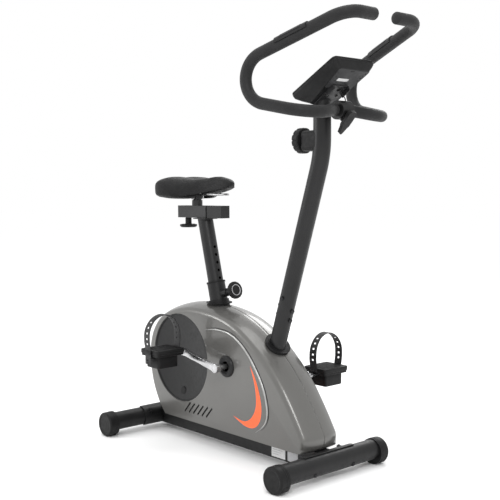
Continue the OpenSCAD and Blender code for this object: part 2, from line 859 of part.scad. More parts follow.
// The left arm points forward and down, the right one back and up
module at_crank(side) {
    translate([0, 0, crank_z]) rotate([0, side > 0 ? crank_angle : crank_angle + 180, 0])
        mirror([0, side > 0 ? 0 : 1, 0]) children();
}

module left_crank() color("#b9bbbe") at_crank(1) crank_arm();
module right_crank() color("#b9bbbe") at_crank(-1) crank_arm();

module crank_nuts() color("#8e9195") for (s = [-1, 1]) at_crank(s) {
    along_y(109, 117) circle(9.9, $fn = 6);
    along_y(117, 119.5) circle(6);
}

// A weighted pedal, in its own frame with the spindle along Y
pedal_l = 94;
pedal_w = 106;

module pedal() {
    difference() {
        union() {
            along_y(-pedal_w / 2, pedal_w / 2) translate([0, 10]) rounded(pedal_l, 21, 5);
            along_y(-36, 40) translate([0, -19]) rounded(66, 40, 8);
        }
        disc_y(0, 0, 6 + running, -60, 60);
    }
}

// The strap's inside line, from its hanging outer end over the top to the crank side
strap_y = pedal_w / 2 + 0.7;
strap_path = curve([[strap_y, -24], [strap_y, 2], [strap_y, 14], [strap_y, 23], [57.5, 50],
                    [54, 84], [33, 113], [0, 125], [-32, 114], [-52, 86], [-57, 52],
                    [-strap_y, 23], [-strap_y, 14], [-strap_y, 9]], 3);
strap_t = 3;

function strap_side(d) = [for (i = [0:len(strap_path) - 1])
    let (t = unit(strap_path[min(i + 1, len(strap_path) - 1)] - strap_path[max(i - 1, 0)]))
    strap_path[i] + d * [t.y, -t.x]];

module strap() {
    rotate([90, 0, 90]) linear_extrude(30, center = true)
        polygon(concat(strap_side(strap_t), backwards(strap_side(0))));
}

module at_pedal(side) {
    a = side > 0 ? crank_angle : crank_angle + 180;
    translate([crank_len * cos(a), side * pedal_y, crank_z - crank_len * sin(a)])
        mirror([0, side > 0 ? 0 : 1, 0]) children();
}

module left_pedal() color("#1c1c1e") at_pedal(1) pedal();
module right_pedal() color("#1c1c1e") at_pedal(-1) pedal();
module left_strap() color("#202022") at_pedal(1) strap();
module right_strap() color("#202022") at_pedal(-1) strap();

module flywheel() color("#55575b") difference() {
    turned_y(fly_x, 0, fly_z, 1) polygon([[fly_axle_r, -12], [22, -12], [26, -5],
        [flywheel_r - 32, -5], [flywheel_r - 26, -13], [flywheel_r, -13],
        [flywheel_r, 13], [flywheel_r - 26, 13], [flywheel_r - 32, 5], [26, 5],
        [22, 12], [fly_axle_r, 12]]);
}

module flywheel_shaft() color("#9a9da1") {
    disc_y(fly_x, fly_z, fly_axle_r, -36, 50);
    along_y(belt_y0, belt_y1) translate([fly_x, fly_z]) ring_2d(small_r, fly_axle_r - 1);
}

module idler_wheel() color("#4a4b4e")
    along_y(belt_y0 + 0.5, belt_y1 - 0.5) translate(idler_pos) ring_2d(idler_r, 5 + running);

module magnet_yoke() color("#6a6c70") difference() {
    union() {
        along_y(-20, 20) translate([fly_x, fly_z])
            sector(yoke_in, yoke_out, yoke_a0 + 3, yoke_a1);
        disc_y(yoke_pivot.x, yoke_pivot.y, 8, -20, 20);
    }
    disc_y(yoke_pivot.x, yoke_pivot.y, 4 + running, -30, 30);
    disc_y(fly_x, fly_z, yoke_in - 0.5, -30, 30);
}

// ---- Seat ----------------------------------------------------------------

rail_gap = 0.2;
rail_half = slide_half - 3;

module seat_post() color("#303134") {
    difference() {
        on_seat_axis() translate([0, 0, 250])
            linear_extrude(460) ring_2d(seat_post_r, seat_post_r - 2);
        translate([-500, -100, slide_z - 3]) cube([600, 200, 200]);
        for (k = [-4:6]) on_seat_axis() translate([0, 0, pin_s + hole_pitch * k])
            rotate([0, 90, 0]) cylinder(h = 40, r = 5);
    }
    // top plate, neck and rail
    translate([-222, -26.5, slide_z - 3.6]) cube([62, 53, 3]);
    translate([-213, -13, slide_z - 1]) cube([44, 26, 5]);
    translate([-300, -rail_half + rail_gap, slide_z + 3 + rail_gap])
        cube([300 - 160, 2 * (rail_half - rail_gap), slide_h - 6 - 2 * rail_gap]);
    translate([-160, -slide_half, slide_z]) cube([160 + nose_front, 2 * slide_half, slide_h]);
}

module seat_slider() color("#3a3b3e") {
    difference() {
        translate([slide_rear, -slide_half, slide_z])
            cube([slide_front - slide_rear, 2 * slide_half, slide_h]);
        translate([slide_rear - 1, -rail_half, slide_z + 3])
            cube([200, 2 * rail_half, slide_h - 6]);
        translate([-262, -13.6, slide_z - 1]) cube([200, 27.2, 6]);
        translate([knob_x, 0, slide_z - 1]) cylinder(h = 6, r = 4.1);
    }
    difference() {
        union() {
            translate([stem_x, 0, slide_z + slide_h]) cylinder(h = 18, r = 17.5);
            translate([stem_x, 0, slide_z + slide_h]) cylinder(h = stem_top - slide_z - slide_h, r = 14);
            disc_y(stem_x, stem_top, 12, -15, 15);
        }
        disc_y(stem_x, stem_top, 4 + running, -20, 20);
    }
}

module slider_knob() color("#1b1b1d") translate([knob_x, 0, 0]) {
    translate([0, 0, slide_z - 4]) cylinder(h = 6.6, r = 4);
    translate([0, 0, slide_z - 22]) cylinder(h = 21.5, r = 10.5);
    translate([0, 0, slide_z - 33]) rotate_extrude()
        polygon([[0, 0], [24, 0], [28, 3], [29, 6], [28, 10], [20, 11], [0, 11]]);
}

// Saddle sections from the nose to the back: x, half width, bottom, top
saddle_nose = -45;
saddle_rows = [[0, 6, 843, 851], [6, 15, 836, 858], [20, 22, 829, 864], [45, 27, 822, 867],
    [80, 31, 816, 868], [115, 40, 810, 864], [145, 58, 804, 860], [175, 84, 800, 860],
    [205, 110, 799, 864], [232, 124, 800, 869], [256, 125, 802, 870], [275, 112, 804, 867],
    [289, 88, 809, 860], [296, 50, 818, 848]];
saddle_ring = 20;

function saddle_point(row, k) =
    let (a = 360 * k / saddle_ring, w = row[1] * saddle_half / 127,
         h = (row[3] - row[2]) / 2, c = (row[3] + row[2]) / 2,
         y = w * sign(cos(a)) * pow(abs(cos(a)), sin(a) > 0 ? 0.55 : 0.3),
         z = c + h * sign(sin(a)) * pow(abs(sin(a)), sin(a) > 0 ? 0.7 : 0.25))
    [saddle_nose - row[0] * saddle_len / 296, y, z];

module saddle_form() {
    n = saddle_ring;
    m = len(saddle_rows);
    polyhedron(
        points = [for (r = saddle_rows, k = [0:n - 1]) saddle_point(r, k)],
        faces = concat(
            [[for (k = [0:n - 1]) k]],
            [for (i = [0:m - 2], k = [0:n - 1])
                let (j = (k + 1) % n)
                [i * n + k, i * n + n + k, i * n + n + j, i * n + j]],
            [[for (k = [n - 1:-1:0]) (m - 1) * n + k]]));
}

rail_points = [[-290, 23, 817], [-180, 23, 817], [-120, 15, 811], [-84, 10, 811]];
rail_r = 3.5;

module saddle() color("#252527") difference() {
    saddle_form();
    translate([-295, -36, 790]) cube([125, 72, 36]);
    both_sides() bore(rail_points, rail_r + 1);
}

module saddle_clamp() color("#a8abaf") {
    both_sides() {
        difference() {
            union() {
                disc_y(stem_x, stem_top, 13, 15.3, 19);
                translate([stem_x - 12, 15.3, stem_top]) cube([24, 3.7, 18]);
            }
            rod(rail_points[0], rail_points[1], rail_r + 0.1);
        }
        bent_tube(rail_points, [30, 30], rail_r, 0);
    }
    disc_y(stem_x, stem_top, 4, -22, 22);
}

module pop_pin() color("#1a1a1c") on_seat_axis() translate([0, 0, pin_s])
    rotate([0, 90, 0]) {
        translate([0, 0, seat_post_r + 0.4]) cylinder(h = 40, r = 5);
        translate([0, 0, 54]) rotate_extrude()
            polygon([[0, 0], [12, 0], [14, 12], [20, 22], [26, 28], [28, 31], [28, 38],
                     [25, 41], [17, 41], [16, 39], [0, 39]]);
    }

// ---- The assembly --------------------------------------------------------

place() base_beam();
place() tube_saddles();
place() rear_stabilizer();
place() front_stabilizer();
place() front_caps();
place() seat_sleeve();
place() seat_bushing();
place() drive_frame();
place() bearings();
place() post_socket();
place() main_post();
place() frame_bolts();
place() shell_right();
place() shell_left();
place() round_covers();
place() hub_rings();
place() seat_boot();
place() post_boot();
place() console_bracket();
place() console_back();
place() console_front();
place() console_lens();
place() clamp_rear_jaw();
place() clamp_front_jaw();
place() tension_base();
place() tension_cable();
place() sensor_wire();
place() drive_belt();
place() crank_axle();
place() drive_pulley();
place() right_crank();
place() left_crank();
place() crank_nuts();
place() right_pedal();
place() right_strap();
place() left_pedal();
place() left_strap();
place() flywheel();
place() flywheel_shaft();
place() idler_wheel();
place() magnet_yoke();
place() seat_post();
place() seat_slider();
place() slider_knob();
place() saddle();
place() saddle_clamp();
place() pop_pin();
place() handlebar_tube();
place() grip_right();
place() grip_left();
place() pulse_plates();
place() clamp_knob();
place() tension_knob();
place() button_left();
place() button_middle();
place() button_right();
place() wheel_right();
place() wheel_left();
place() rear_cap_right();
place() rear_cap_left();
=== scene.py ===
"""Looks of the upright exercise bike: finer shapes and materials on the CAD frame."""
import json
import math

import bmesh
import bpy
from mathutils import Matrix, Vector


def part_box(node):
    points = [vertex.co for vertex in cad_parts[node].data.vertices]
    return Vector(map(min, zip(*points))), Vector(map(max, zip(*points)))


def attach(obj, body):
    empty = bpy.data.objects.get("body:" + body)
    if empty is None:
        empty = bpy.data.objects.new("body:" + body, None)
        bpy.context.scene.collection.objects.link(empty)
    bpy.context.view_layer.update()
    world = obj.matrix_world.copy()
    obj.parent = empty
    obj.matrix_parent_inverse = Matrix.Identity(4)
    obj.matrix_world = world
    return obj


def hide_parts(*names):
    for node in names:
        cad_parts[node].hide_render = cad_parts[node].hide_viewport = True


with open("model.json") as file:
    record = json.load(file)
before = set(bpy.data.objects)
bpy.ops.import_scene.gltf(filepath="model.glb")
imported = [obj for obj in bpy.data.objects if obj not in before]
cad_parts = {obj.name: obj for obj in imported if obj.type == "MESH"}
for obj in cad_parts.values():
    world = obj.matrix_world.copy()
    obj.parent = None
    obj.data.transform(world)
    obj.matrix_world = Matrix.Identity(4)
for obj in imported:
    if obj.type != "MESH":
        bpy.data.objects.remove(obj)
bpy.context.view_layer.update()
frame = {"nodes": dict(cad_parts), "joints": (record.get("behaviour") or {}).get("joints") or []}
NODES = frame["nodes"]
JOINTS = {j["name"]: j for j in frame["joints"]}
CRANK = Vector(JOINTS["crank_spin"]["pos_m"])
FLY = Vector(JOINTS["flywheel_spin"]["pos_m"])
SEAT_AXIS = Vector(JOINTS["seat_height"]["axis"])
SEAT_FOOT = (-24.7, 0, 75)      # where the seat tube's line meets the beam's top
POST_LEAN = math.radians(18.45)
POST_FOOT = (60, 0, 75)         # where the front post's line meets it
PIN_HEIGHT = 424                # pop pin above the seat tube's foot, along the tube
MM = 0.001
SIDES = {"right": -1, "left": 1}


def at(x, y, z):
    """A point given in millimetres from the floor below the crank axle."""
    return Vector((CRANK.x + x * MM, y * MM, z * MM))


# ---- Camera, floor and light ----------------------------------------------

def turned_to(azimuth, pitch, roll):
    """The rotation of a camera that looks down by pitch and leans by roll, in degrees."""
    a, e, r = (math.radians(v) for v in (azimuth, pitch, roll))
    ahead = Vector((-math.sin(a) * math.cos(e), math.cos(a) * math.cos(e), -math.sin(e)))
    side = Vector((math.cos(a), math.sin(a), 0))
    up = side.cross(ahead)
    side, up = side * math.cos(r) + up * math.sin(r), up * math.cos(r) - side * math.sin(r)
    return Matrix((side, up, -ahead)).transposed()


def add_camera():
    data = bpy.data.cameras.new("camera")
    data.lens = 63.6
    data.sensor_width = 36
    camera = bpy.data.objects.new("camera", data)
    bpy.context.scene.collection.objects.link(camera)
    camera.matrix_world = (Matrix.Translation((2.037, -1.8023, 0.8241))
                           @ turned_to(48.826, 3.87, -0.46).to_4x4())
    bpy.context.scene.camera = camera


def add_light(name, place, size, power, target=(0, 0, 0.6)):
    data = bpy.data.lights.new(name, "AREA")
    data.shape = "DISK"
    data.size = size
    data.energy = power
    light = bpy.data.objects.new(name, data)
    light.location = place
    aim = Vector(target) - Vector(place)
    light.rotation_euler = aim.to_track_quat("-Z", "Y").to_euler()
    bpy.context.scene.collection.objects.link(light)


def add_studio():
    world = bpy.data.worlds.new("studio")
    world.use_nodes = True
    world.node_tree.nodes["Background"].inputs["Color"].default_value = (1, 1, 1, 1)
    world.node_tree.nodes["Background"].inputs["Strength"].default_value = 1.0
    bpy.context.scene.world = world
    bpy.context.scene.view_settings.view_transform = "Standard"
    add_light("key", (2.6, -2.2, 2.9), 1.4, 48)
    add_light("side", (-2.4, -2.6, 1.7), 1.2, 26)
    add_light("rim", (-1.2, 2.6, 2.4), 1.6, 30)
    add_light("top", (0.1, 0.0, 3.3), 1.8, 20)
    bpy.ops.mesh.primitive_plane_add(size=60, location=(0, 0, 0))
    floor = bpy.context.object
    floor.name = "floor"
    mat = bpy.data.materials.new("floor")
    mat.use_nodes = True
    shader = mat.node_tree.nodes["Principled BSDF"]
    shader.inputs["Base Color"].default_value = (1, 1, 1, 1)
    shader.inputs["Roughness"].default_value = 1.0
    shader.inputs["Specular IOR Level"].default_value = 0.0
    floor.data.materials.append(mat)


# ---- Materials ------------------------------------------------------------

class Look:
    """A material with its node tree, and short ways to add to it."""

    def __init__(self, name):
        self.mat = bpy.data.materials.new(name)
        self.mat.use_nodes = True
        self.tree = self.mat.node_tree
        self.shader = self.tree.nodes["Principled BSDF"]
        self.place = self.add("ShaderNodeTexCoord").outputs["Object"]

    def add(self, kind, **values):
        node = self.tree.nodes.new(kind)
        for key, value in values.items():
            setattr(node, key, value)
        return node

    def link(self, start, end):
        self.tree.links.new(start, end)

    def set(self, **values):
        for key, value in values.items():
            self.shader.inputs[key.replace("_", " ")].default_value = value

    def stretched(self, scale):
        node = self.add("ShaderNodeMapping")
        node.inputs["Scale"].default_value = scale
        self.link(self.place, node.inputs["Vector"])
        return node.outputs["Vector"]

    def noise(self, scale, detail=3, stretch=(1, 1, 1)):
        node = self.add("ShaderNodeTexNoise")
        node.inputs["Scale"].default_value = scale
        node.inputs["Detail"].default_value = detail
        self.link(self.stretched(stretch), node.inputs["Vector"])
        return node.outputs["Fac"]

    def cells(self, scale, feature="F1", stretch=(1, 1, 1)):
        node = self.add("ShaderNodeTexVoronoi", feature=feature)
        node.inputs["Scale"].default_value = scale
        self.link(self.stretched(stretch), node.inputs["Vector"])
        return node.outputs["Distance"]

    def ranged(self, value, low, high, start=0.3, end=0.7):
        """value, taken from start..end to low..high."""
        node = self.add("ShaderNodeMapRange")
        for key, number in (("From Min", start), ("From Max", end), ("To Min", low), ("To Max", high)):
            node.inputs[key].default_value = number
        self.link(value, node.inputs["Value"])
        return node.outputs["Result"]

    def blend(self, amount, first, second):
        node = self.add("ShaderNodeMix", data_type="RGBA")
        self.link(amount, node.inputs["Factor"])
        for socket, colour in ((node.inputs["A"], first), (node.inputs["B"], second)):
            if isinstance(colour, tuple):
                socket.default_value = (*colour, 1)
            else:
                self.link(colour, socket)
        return node.outputs["Result"]

    def edges(self, radius, power=14):
        """About 1 along sharp edges, and 0 elsewhere."""
        soft = self.add("ShaderNodeBevel", samples=4)
        soft.inputs["Radius"].default_value = radius
        dot = self.add("ShaderNodeVectorMath", operation="DOT_PRODUCT")
        self.link(soft.outputs["Normal"], dot.inputs[0])
        self.link(self.add("ShaderNodeNewGeometry").outputs["Normal"], dot.inputs[1])
        return self.ranged(dot.outputs["Value"], 1, 0, 1 - 1 / power, 1)

    def bumps(self, *layers, edge=0.0006):
        """Raises the surface by each (height, distance, strength) in turn, over softened edges."""
        soft = self.add("ShaderNodeBevel", samples=4)
        soft.inputs["Radius"].default_value = edge
        normal = soft.outputs["Normal"]
        for height, distance, strength in layers:
            node = self.add("ShaderNodeBump")
            node.inputs["Distance"].default_value = distance
            node.inputs["Strength"].default_value = strength
            self.link(height, node.inputs["Height"])
            self.link(normal, node.inputs["Normal"])
            normal = node.outputs["Normal"]
        self.link(normal, self.shader.inputs["Normal"])

    def colour(self, value):
        self.link(value, self.shader.inputs["Base Color"])

    def roughness(self, value):
        self.link(value, self.shader.inputs["Roughness"])


def painted_steel(name, dark, light, rough=0.42):
    """Powder coat: a fine orange peel, faint cloudiness and paler rubbed edges."""
    look = Look(name)
    clouds = look.noise(9, 4)
    base = look.blend(look.ranged(clouds, 0, 1), dark, light)
    worn = tuple(min(1, 2.4 * v + 0.02) for v in light)
    look.colour(look.blend(look.ranged(look.edges(0.001), 0, 0.55, 0, 1), base, worn))
    look.roughness(look.ranged(look.noise(60, 5), rough - 0.06, rough + 0.1))
    look.bumps((look.noise(1100, 2), 0.0002, 0.35), (look.noise(260, 2), 0.0003, 0.12), edge=0.0012)
    look.set(Specular_IOR_Level=0.3)
    return look.mat


def moulded(name, dark, light, rough=0.5, grain=1500, edge=0.0009):
    """Moulded plastic with a spark-eroded grain."""
    look = Look(name)
    base = look.blend(look.ranged(look.noise(14, 4), 0, 1), dark, light)
    rubbed = tuple(min(1, 1.7 * v + 0.01) for v in light)
    look.colour(look.blend(look.ranged(look.edges(edge), 0, 0.5, 0, 1), base, rubbed))
    look.roughness(look.ranged(look.noise(90, 4), rough - 0.07, rough + 0.1))
    look.bumps((look.noise(grain, 3), 0.00025, 0.4), edge=edge)
    look.set(Specular_IOR_Level=0.22)
    return look.mat


def metallic_lacquer(name):
    """The shell's silver-grey paint: fine flakes under a clear coat."""
    look = Look(name)
    flakes = look.cells(2600)
    base = look.blend(look.ranged(flakes, 0, 1, 0.1, 0.8), (0.15, 0.147, 0.139), (0.1, 0.098, 0.093))
    shade = look.blend(look.ranged(look.noise(3.5, 2), 0, 1), (0.13, 0.128, 0.121), (0.112, 0.11, 0.104))
    mixed = look.add("ShaderNodeMix", data_type="RGBA")
    mixed.inputs["Factor"].default_value = 0.5
    look.link(base, mixed.inputs["A"])
    look.link(shade, mixed.inputs["B"])
    look.colour(mixed.outputs["Result"])
    look.roughness(look.ranged(look.noise(40, 4), 0.3, 0.38))
    look.bumps((look.noise(420, 2), 0.00012, 0.12), edge=0.0015)
    look.set(Metallic=0.4, Coat_Weight=0.5, Coat_Roughness=0.1)
    return look.mat


def foam(name):
    """Closed-cell foam: fine pits with painted shade in them, paler between the pits, and a soft sheen."""
    look = Look(name)
    pits = look.cells(900)
    base = look.blend(look.ranged(look.noise(30, 5), 0, 1), (0.007, 0.007, 0.0073), (0.013, 0.013, 0.0135))
    # Pit bottoms keep the darker colour and the rims between them turn paler: painted shade in the pits.
    look.colour(look.blend(look.ranged(pits, 0, 0.5, 0.2, 0.7), base, (0.019, 0.019, 0.0195)))
    look.roughness(look.ranged(look.noise(120, 3), 0.52, 0.68))
    look.bumps((pits, 0.0004, 0.5), (look.noise(130, 4), 0.0005, 0.25))
    look.set(Sheen_Weight=0.06, Sheen_Roughness=0.5, Specular_IOR_Level=0.25)
    return look.mat


def vinyl(name):
    """Black seat vinyl with a fine leather grain, its creases darkened with painted shade."""
    look = Look(name)
    grain = look.cells(520, "DISTANCE_TO_EDGE")
    wrinkles = look.noise(45, 5)
    base = look.blend(look.ranged(wrinkles, 0, 1), (0.007, 0.007, 0.0075), (0.014, 0.014, 0.0145))
    # Near black along the grain's creases: painted shade.
    look.colour(look.blend(look.ranged(grain, 1, 0, 0.0, 0.12), base, (0.005, 0.005, 0.005)))
    look.roughness(look.ranged(look.noise(70, 4), 0.42, 0.56))
    look.bumps((look.ranged(grain, 0, 1, 0, 0.15), 0.0003, 0.55), (wrinkles, 0.0006, 0.2))
    look.set(Specular_IOR_Level=0.22)
    return look.mat


def bare_metal(name, tint, rough, stretch=(1, 1, 1), scratch=0.25):
    """Plated or polished metal with fine marks that run one way."""
    look = Look(name)
    marks = look.noise(500, 4, stretch)
    dull = tuple(0.72 * v for v in tint)
    look.colour(look.blend(look.ranged(look.noise(25, 5), 0, 1), tint, dull))
    look.roughness(look.ranged(marks, rough - 0.05, rough + 0.12))
    look.bumps((marks, 0.0001, scratch), edge=0.001)
    look.set(Metallic=1.0)
    return look.mat


def webbing(name):
    """The foot straps' moulded rubber, with shallow cross ribs."""
    look = Look(name)
    weave = look.add("ShaderNodeTexWave", wave_type="BANDS", bands_direction="Z")
    weave.inputs["Scale"].default_value = 120
    look.link(look.place, weave.inputs["Vector"])
    look.colour(look.blend(look.ranged(look.noise(60, 4), 0, 1),
                           (0.008, 0.008, 0.0085), (0.016, 0.016, 0.017)))
    look.roughness(look.ranged(look.noise(200, 3), 0.5, 0.66))
    look.bumps((weave.outputs["Fac"], 0.0003, 0.3), (look.noise(1400, 2), 0.0002, 0.3))
    return look.mat


def plain_print(name, tint, rough=0.3, coat=0.4):
    """A printed film or a paint fill, with a trace of uneven ink."""
    look = Look(name)
    paler = tuple(min(1, 1.12 * v + 0.004) for v in tint)
    look.colour(look.blend(look.ranged(look.noise(180, 4), 0, 1), tint, paler))
    look.roughness(look.ranged(look.noise(80, 3), rough - 0.05, rough + 0.08))
    look.bumps((look.noise(800, 2), 0.0001, 0.2))
    look.set(Coat_Weight=coat)
    return look.mat


STEEL = painted_steel("frame_paint", (0.0055, 0.0055, 0.0058), (0.009, 0.009, 0.0094))
POST = painted_steel("post_paint", (0.0085, 0.0085, 0.0088), (0.0135, 0.0135, 0.014), 0.36)
SLEEVE = painted_steel("slider_paint", (0.022, 0.022, 0.023), (0.034, 0.034, 0.035), 0.34)
BRACKET = painted_steel("bracket_paint", (0.016, 0.016, 0.017), (0.026, 0.026, 0.027), 0.38)
BLACK = moulded("black_plastic", (0.0045, 0.0045, 0.0047), (0.0085, 0.0085, 0.0088))
COVER = moulded("cover_plastic", (0.0115, 0.0115, 0.0118), (0.017, 0.017, 0.0174), 0.38)
CONSOLE = moulded("console_plastic", (0.006, 0.006, 0.0062), (0.0105, 0.0105, 0.0109), 0.46)
PANEL = moulded("panel_plastic", (0.034, 0.034, 0.035), (0.046, 0.046, 0.0475), 0.5)
RUBBER = moulded("rubber", (0.012, 0.012, 0.012), (0.02, 0.02, 0.02), 0.68, 700)
SOFT_GREY = moulded("button_rubber", (0.2, 0.205, 0.215), (0.27, 0.275, 0.285), 0.55)
PALE_RING = moulded("ring_plastic", (0.36, 0.36, 0.37), (0.46, 0.46, 0.47), 0.4)
SHELL = metallic_lacquer("shell_lacquer")
# Pale metal on the shell's ridge: a painted highlight, a lit copy of the shell's own lacquer.
RIDGE_HIGHLIGHT = bare_metal("ridge_painted_highlight", (0.5, 0.5, 0.49), 0.3)
FOAM = foam("grip_foam")
VINYL = vinyl("seat_vinyl")
POLISHED = bare_metal("polished_steel", (0.62, 0.62, 0.63), 0.22, (0.2, 1, 1), 0.1)
ZINC = bare_metal("zinc_steel", (0.5, 0.5, 0.5), 0.34)
IRON = bare_metal("turned_iron", (0.16, 0.16, 0.165), 0.4)
BLACK_OXIDE = bare_metal("black_oxide", (0.045, 0.045, 0.047), 0.42)
ALLOY = bare_metal("cast_alloy", (0.42, 0.42, 0.43), 0.45)
STRAP = webbing("strap_rubber")
ORANGE = plain_print("orange_film", (0.97, 0.115, 0.022), 0.4, 0.12)
BLANK = plain_print("blank_label", (0.62, 0.62, 0.62), 0.42)
SILVER = plain_print("silver_label", (0.42, 0.42, 0.43), 0.35)
LENS = plain_print("display_window", (0.1, 0.118, 0.096), 0.14, 1.0)
SEGMENT = plain_print("display_cells", (0.02, 0.024, 0.02), 0.2, 1.0)
# Flat near-black for painted shade: behind the shell's vents, in the console's slot and holes, and along
# the line outside the ridge.
PAINTED_SHADE = plain_print("painted_shade_fill", (0.006, 0.006, 0.006), 0.7, 0.0)

NODE_LOOKS = {
    STEEL: ["base_beam", "tube_saddles", "rear_stabilizer", "front_stabilizer", "seat_sleeve",
            "post_socket", "drive_frame", "clamp_rear_jaw", "clamp_front_jaw", "handlebar_tube"],
    POST: ["main_post", "seat_post"],
    SLEEVE: ["seat_slider"],
    COVER: ["hub_rings", "pulse_plates", "round_covers"],
    BLACK: ["front_caps", "rear_cap_right", "rear_cap_left", "seat_bushing", "seat_boot",
            "post_boot", "tension_base", "clamp_knob", "slider_knob", "pop_pin",
            "tension_knob", "tension_cable", "sensor_wire", "right_pedal", "left_pedal"],
    RUBBER: ["wheel_right", "wheel_left", "drive_belt", "idler_wheel"],
    CONSOLE: ["console_back", "console_front"],
    LENS: ["console_lens"],
    SOFT_GREY: ["button_left", "button_middle", "button_right"],
    POLISHED: ["right_crank", "left_crank"],
    ZINC: ["crank_axle", "crank_nuts", "flywheel_shaft", "saddle_clamp",
           "bearings", "magnet_yoke"],
    BLACK_OXIDE: ["frame_bolts"],
    BRACKET: ["console_bracket"],
    IRON: ["flywheel"],
    ALLOY: ["drive_pulley"],
    SHELL: ["shell_right", "shell_left"],
    FOAM: ["grip_right", "grip_left"],
    VINYL: ["saddle"],
    STRAP: ["right_strap", "left_strap"],
}


def dress_nodes():
    for look, names in NODE_LOOKS.items():
        for name in names:
            data = NODES[name].data
            data.materials.clear()
            data.materials.append(look)


# ---- Mesh helpers ---------------------------------------------------------

def piece(name, points, faces, look, body, sharp=35, hides=()):
    """A shaded mesh that rides on a body and stands for the nodes that it hides."""
    mesh = bpy.data.meshes.new(name)
    mesh.from_pydata([tuple(p) for p in points], [], faces)
    bm = bmesh.new()
    bm.from_mesh(mesh)
    bmesh.ops.recalc_face_normals(bm, faces=bm.faces)
    bm.to_mesh(mesh)
    bm.free()
    obj = bpy.data.objects.new(name, mesh)
    bpy.context.scene.collection.objects.link(obj)
    mesh.materials.append(look)
    shade(obj, sharp)
    if body:
        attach(obj, body)
    if hides:
        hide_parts(*hides)
    return obj


def shade(obj, sharp):
    obj.data.shade_smooth()
    obj.data.set_sharp_from_angle(angle=math.radians(sharp))


def rings_mesh(rings, closed_ends=True, around=True):
    """Joins rings of equal length into a skin. Returns its points and faces."""
    size = len(rings[0])
    points = [p for ring in rings for p in ring]
    faces = []
    for i in range(len(rings) - 1):
        for k in range(size if around else size - 1):
            j = (k + 1) % size
            faces.append((i * size + k, i * size + j, (i + 1) * size + j, (i + 1) * size + k))
    if closed_ends:
        faces.append(tuple(range(size - 1, -1, -1)))
        faces.append(tuple(range((len(rings) - 1) * size, len(rings) * size)))
    return points, faces


def axes_for(direction, hint=(0, 0, 1)):
    """Two unit vectors square to direction, the first as near to hint as it can be."""
    z = Vector(direction).normalized()
    x = Vector(hint) - z * Vector(hint).dot(z)
    if x.length < 1e-3:
        x = Vector((1, 0, 0)) - z * z.x
    x.normalize()
    return x, z.cross(x)


def lathe(name, profile, centre, direction, look, body, steps=72, wave=None, ring=False, **more):
    """Turns (radius, height) pairs in millimetres about a line through centre.

    A ring's profile is a closed loop that stays clear of the line."""
    x, y = axes_for(direction)
    z = Vector(direction).normalized()
    rings = []
    for radius, height in profile:
        row = []
        for k in range(steps):
            a = 2 * math.pi * k / steps
            r = max(radius, 0.02) * (wave(a, radius) if wave else 1) * MM
            row.append(centre + z * height * MM + x * r * math.cos(a) + y * r * math.sin(a))
        rings.append(row)
    points, faces = rings_mesh(rings, closed_ends=not ring)
    if ring:
        last = len(points) - steps
        faces += [(last + k, last + (k + 1) % steps, (k + 1) % steps, k) for k in range(steps)]
    return piece(name, points, faces, look, body, **more)


def rounded_profile(points, radius, steps=4):
    """Rounds the inner corners of an open outline of (x, y) pairs."""
    out = [points[0]]
    for a, b, c in zip(points, points[1:], points[2:]):
        a, b, c = Vector(a), Vector(b), Vector(c)
        reach = min(radius, (a - b).length * 0.45, (c - b).length * 0.45)
        start, end = b + (a - b).normalized() * reach, b + (c - b).normalized() * reach
        for k in range(steps + 1):
            t = k / steps
            out.append(tuple(start * (1 - t) ** 2 + b * 2 * t * (1 - t) + end * t * t))
    out.append(points[-1])
    return out


def rounded_loop(points, radius, steps=5):
    """Rounds every corner of a closed outline."""
    wrapped = [points[-1], *points, points[0]]
    return rounded_profile(wrapped, radius, steps)[1:-1]


def slab(name, outline, low, high, place, look, body, bevel=0.8, **more):
    """Extrudes a closed outline, in millimetres in place's XY plane, from low to high."""
    centre = Vector((sum(p[0] for p in outline), sum(p[1] for p in outline))) / len(outline)
    levels = [(low, bevel), (low + 0.3 * bevel, 0.3 * bevel), (low + bevel, 0),
              (high - bevel, 0), (high - 0.3 * bevel, 0.3 * bevel), (high, bevel)]
    rings = []
    for height, inset in levels:
        ring = []
        for p in outline:
            d = Vector(p) - centre
            q = centre + d * (1 - inset / max(d.length, 1e-6))
            ring.append(place @ Vector((q.x * MM, q.y * MM, height * MM)))
        rings.append(ring)
    points, faces = rings_mesh(rings)
    return piece(name, points, faces, look, body, **more)


def rectangle(width, height, radius=3, x=0, y=0):
    w, h = width / 2, height / 2
    return rounded_loop([(x - w, y - h), (x + w, y - h), (x + w, y + h), (x - w, y + h)], radius)


def bent_path(corners, radii, step=6):
    """Points in millimetres along straight runs joined by round bends."""
    corners = [Vector(c) for c in corners]
    out = [corners[0]]
    for a, b, c, radius in zip(corners, corners[1:], corners[2:], radii):
        u, w = (a - b).normalized(), (c - b).normalized()
        angle = u.angle(w)
        reach = radius / math.tan(angle / 2)
        centre = b + (u + w).normalized() * radius / math.sin(angle / 2)
        start = b + u * reach - centre
        turn = math.pi - angle
        axis = start.cross(b + w * reach - centre).normalized()
        count = max(3, int(radius * turn / step))
        for k in range(count + 1):
            out.append(centre + Matrix.Rotation(turn * k / count, 3, axis) @ start)
    out.append(corners[-1])
    return out


def sweep(name, path, section, look, body, **more):
    """Carries a section along a path of millimetre points. section(distance, total) gives its radius."""
    path = [Vector(p) for p in path]
    runs = [0]
    for a, b in zip(path, path[1:]):
        runs.append(runs[-1] + (b - a).length)
    rings = []
    x, _ = axes_for(path[1] - path[0], (0, 0.3, 1))
    for i, p in enumerate(path):
        ahead = (path[min(i + 1, len(path) - 1)] - path[max(i - 1, 0)]).normalized()
        x = (x - ahead * x.dot(ahead)).normalized()
        y = ahead.cross(x)
        r = section(runs[i], runs[-1])
        rings.append([at(*(p + x * r * math.cos(2 * math.pi * k / 24)
                           + y * r * math.sin(2 * math.pi * k / 24))) for k in range(24)])
    points, faces = rings_mesh(rings)
    return piece(name, points, faces, look, body, **more)


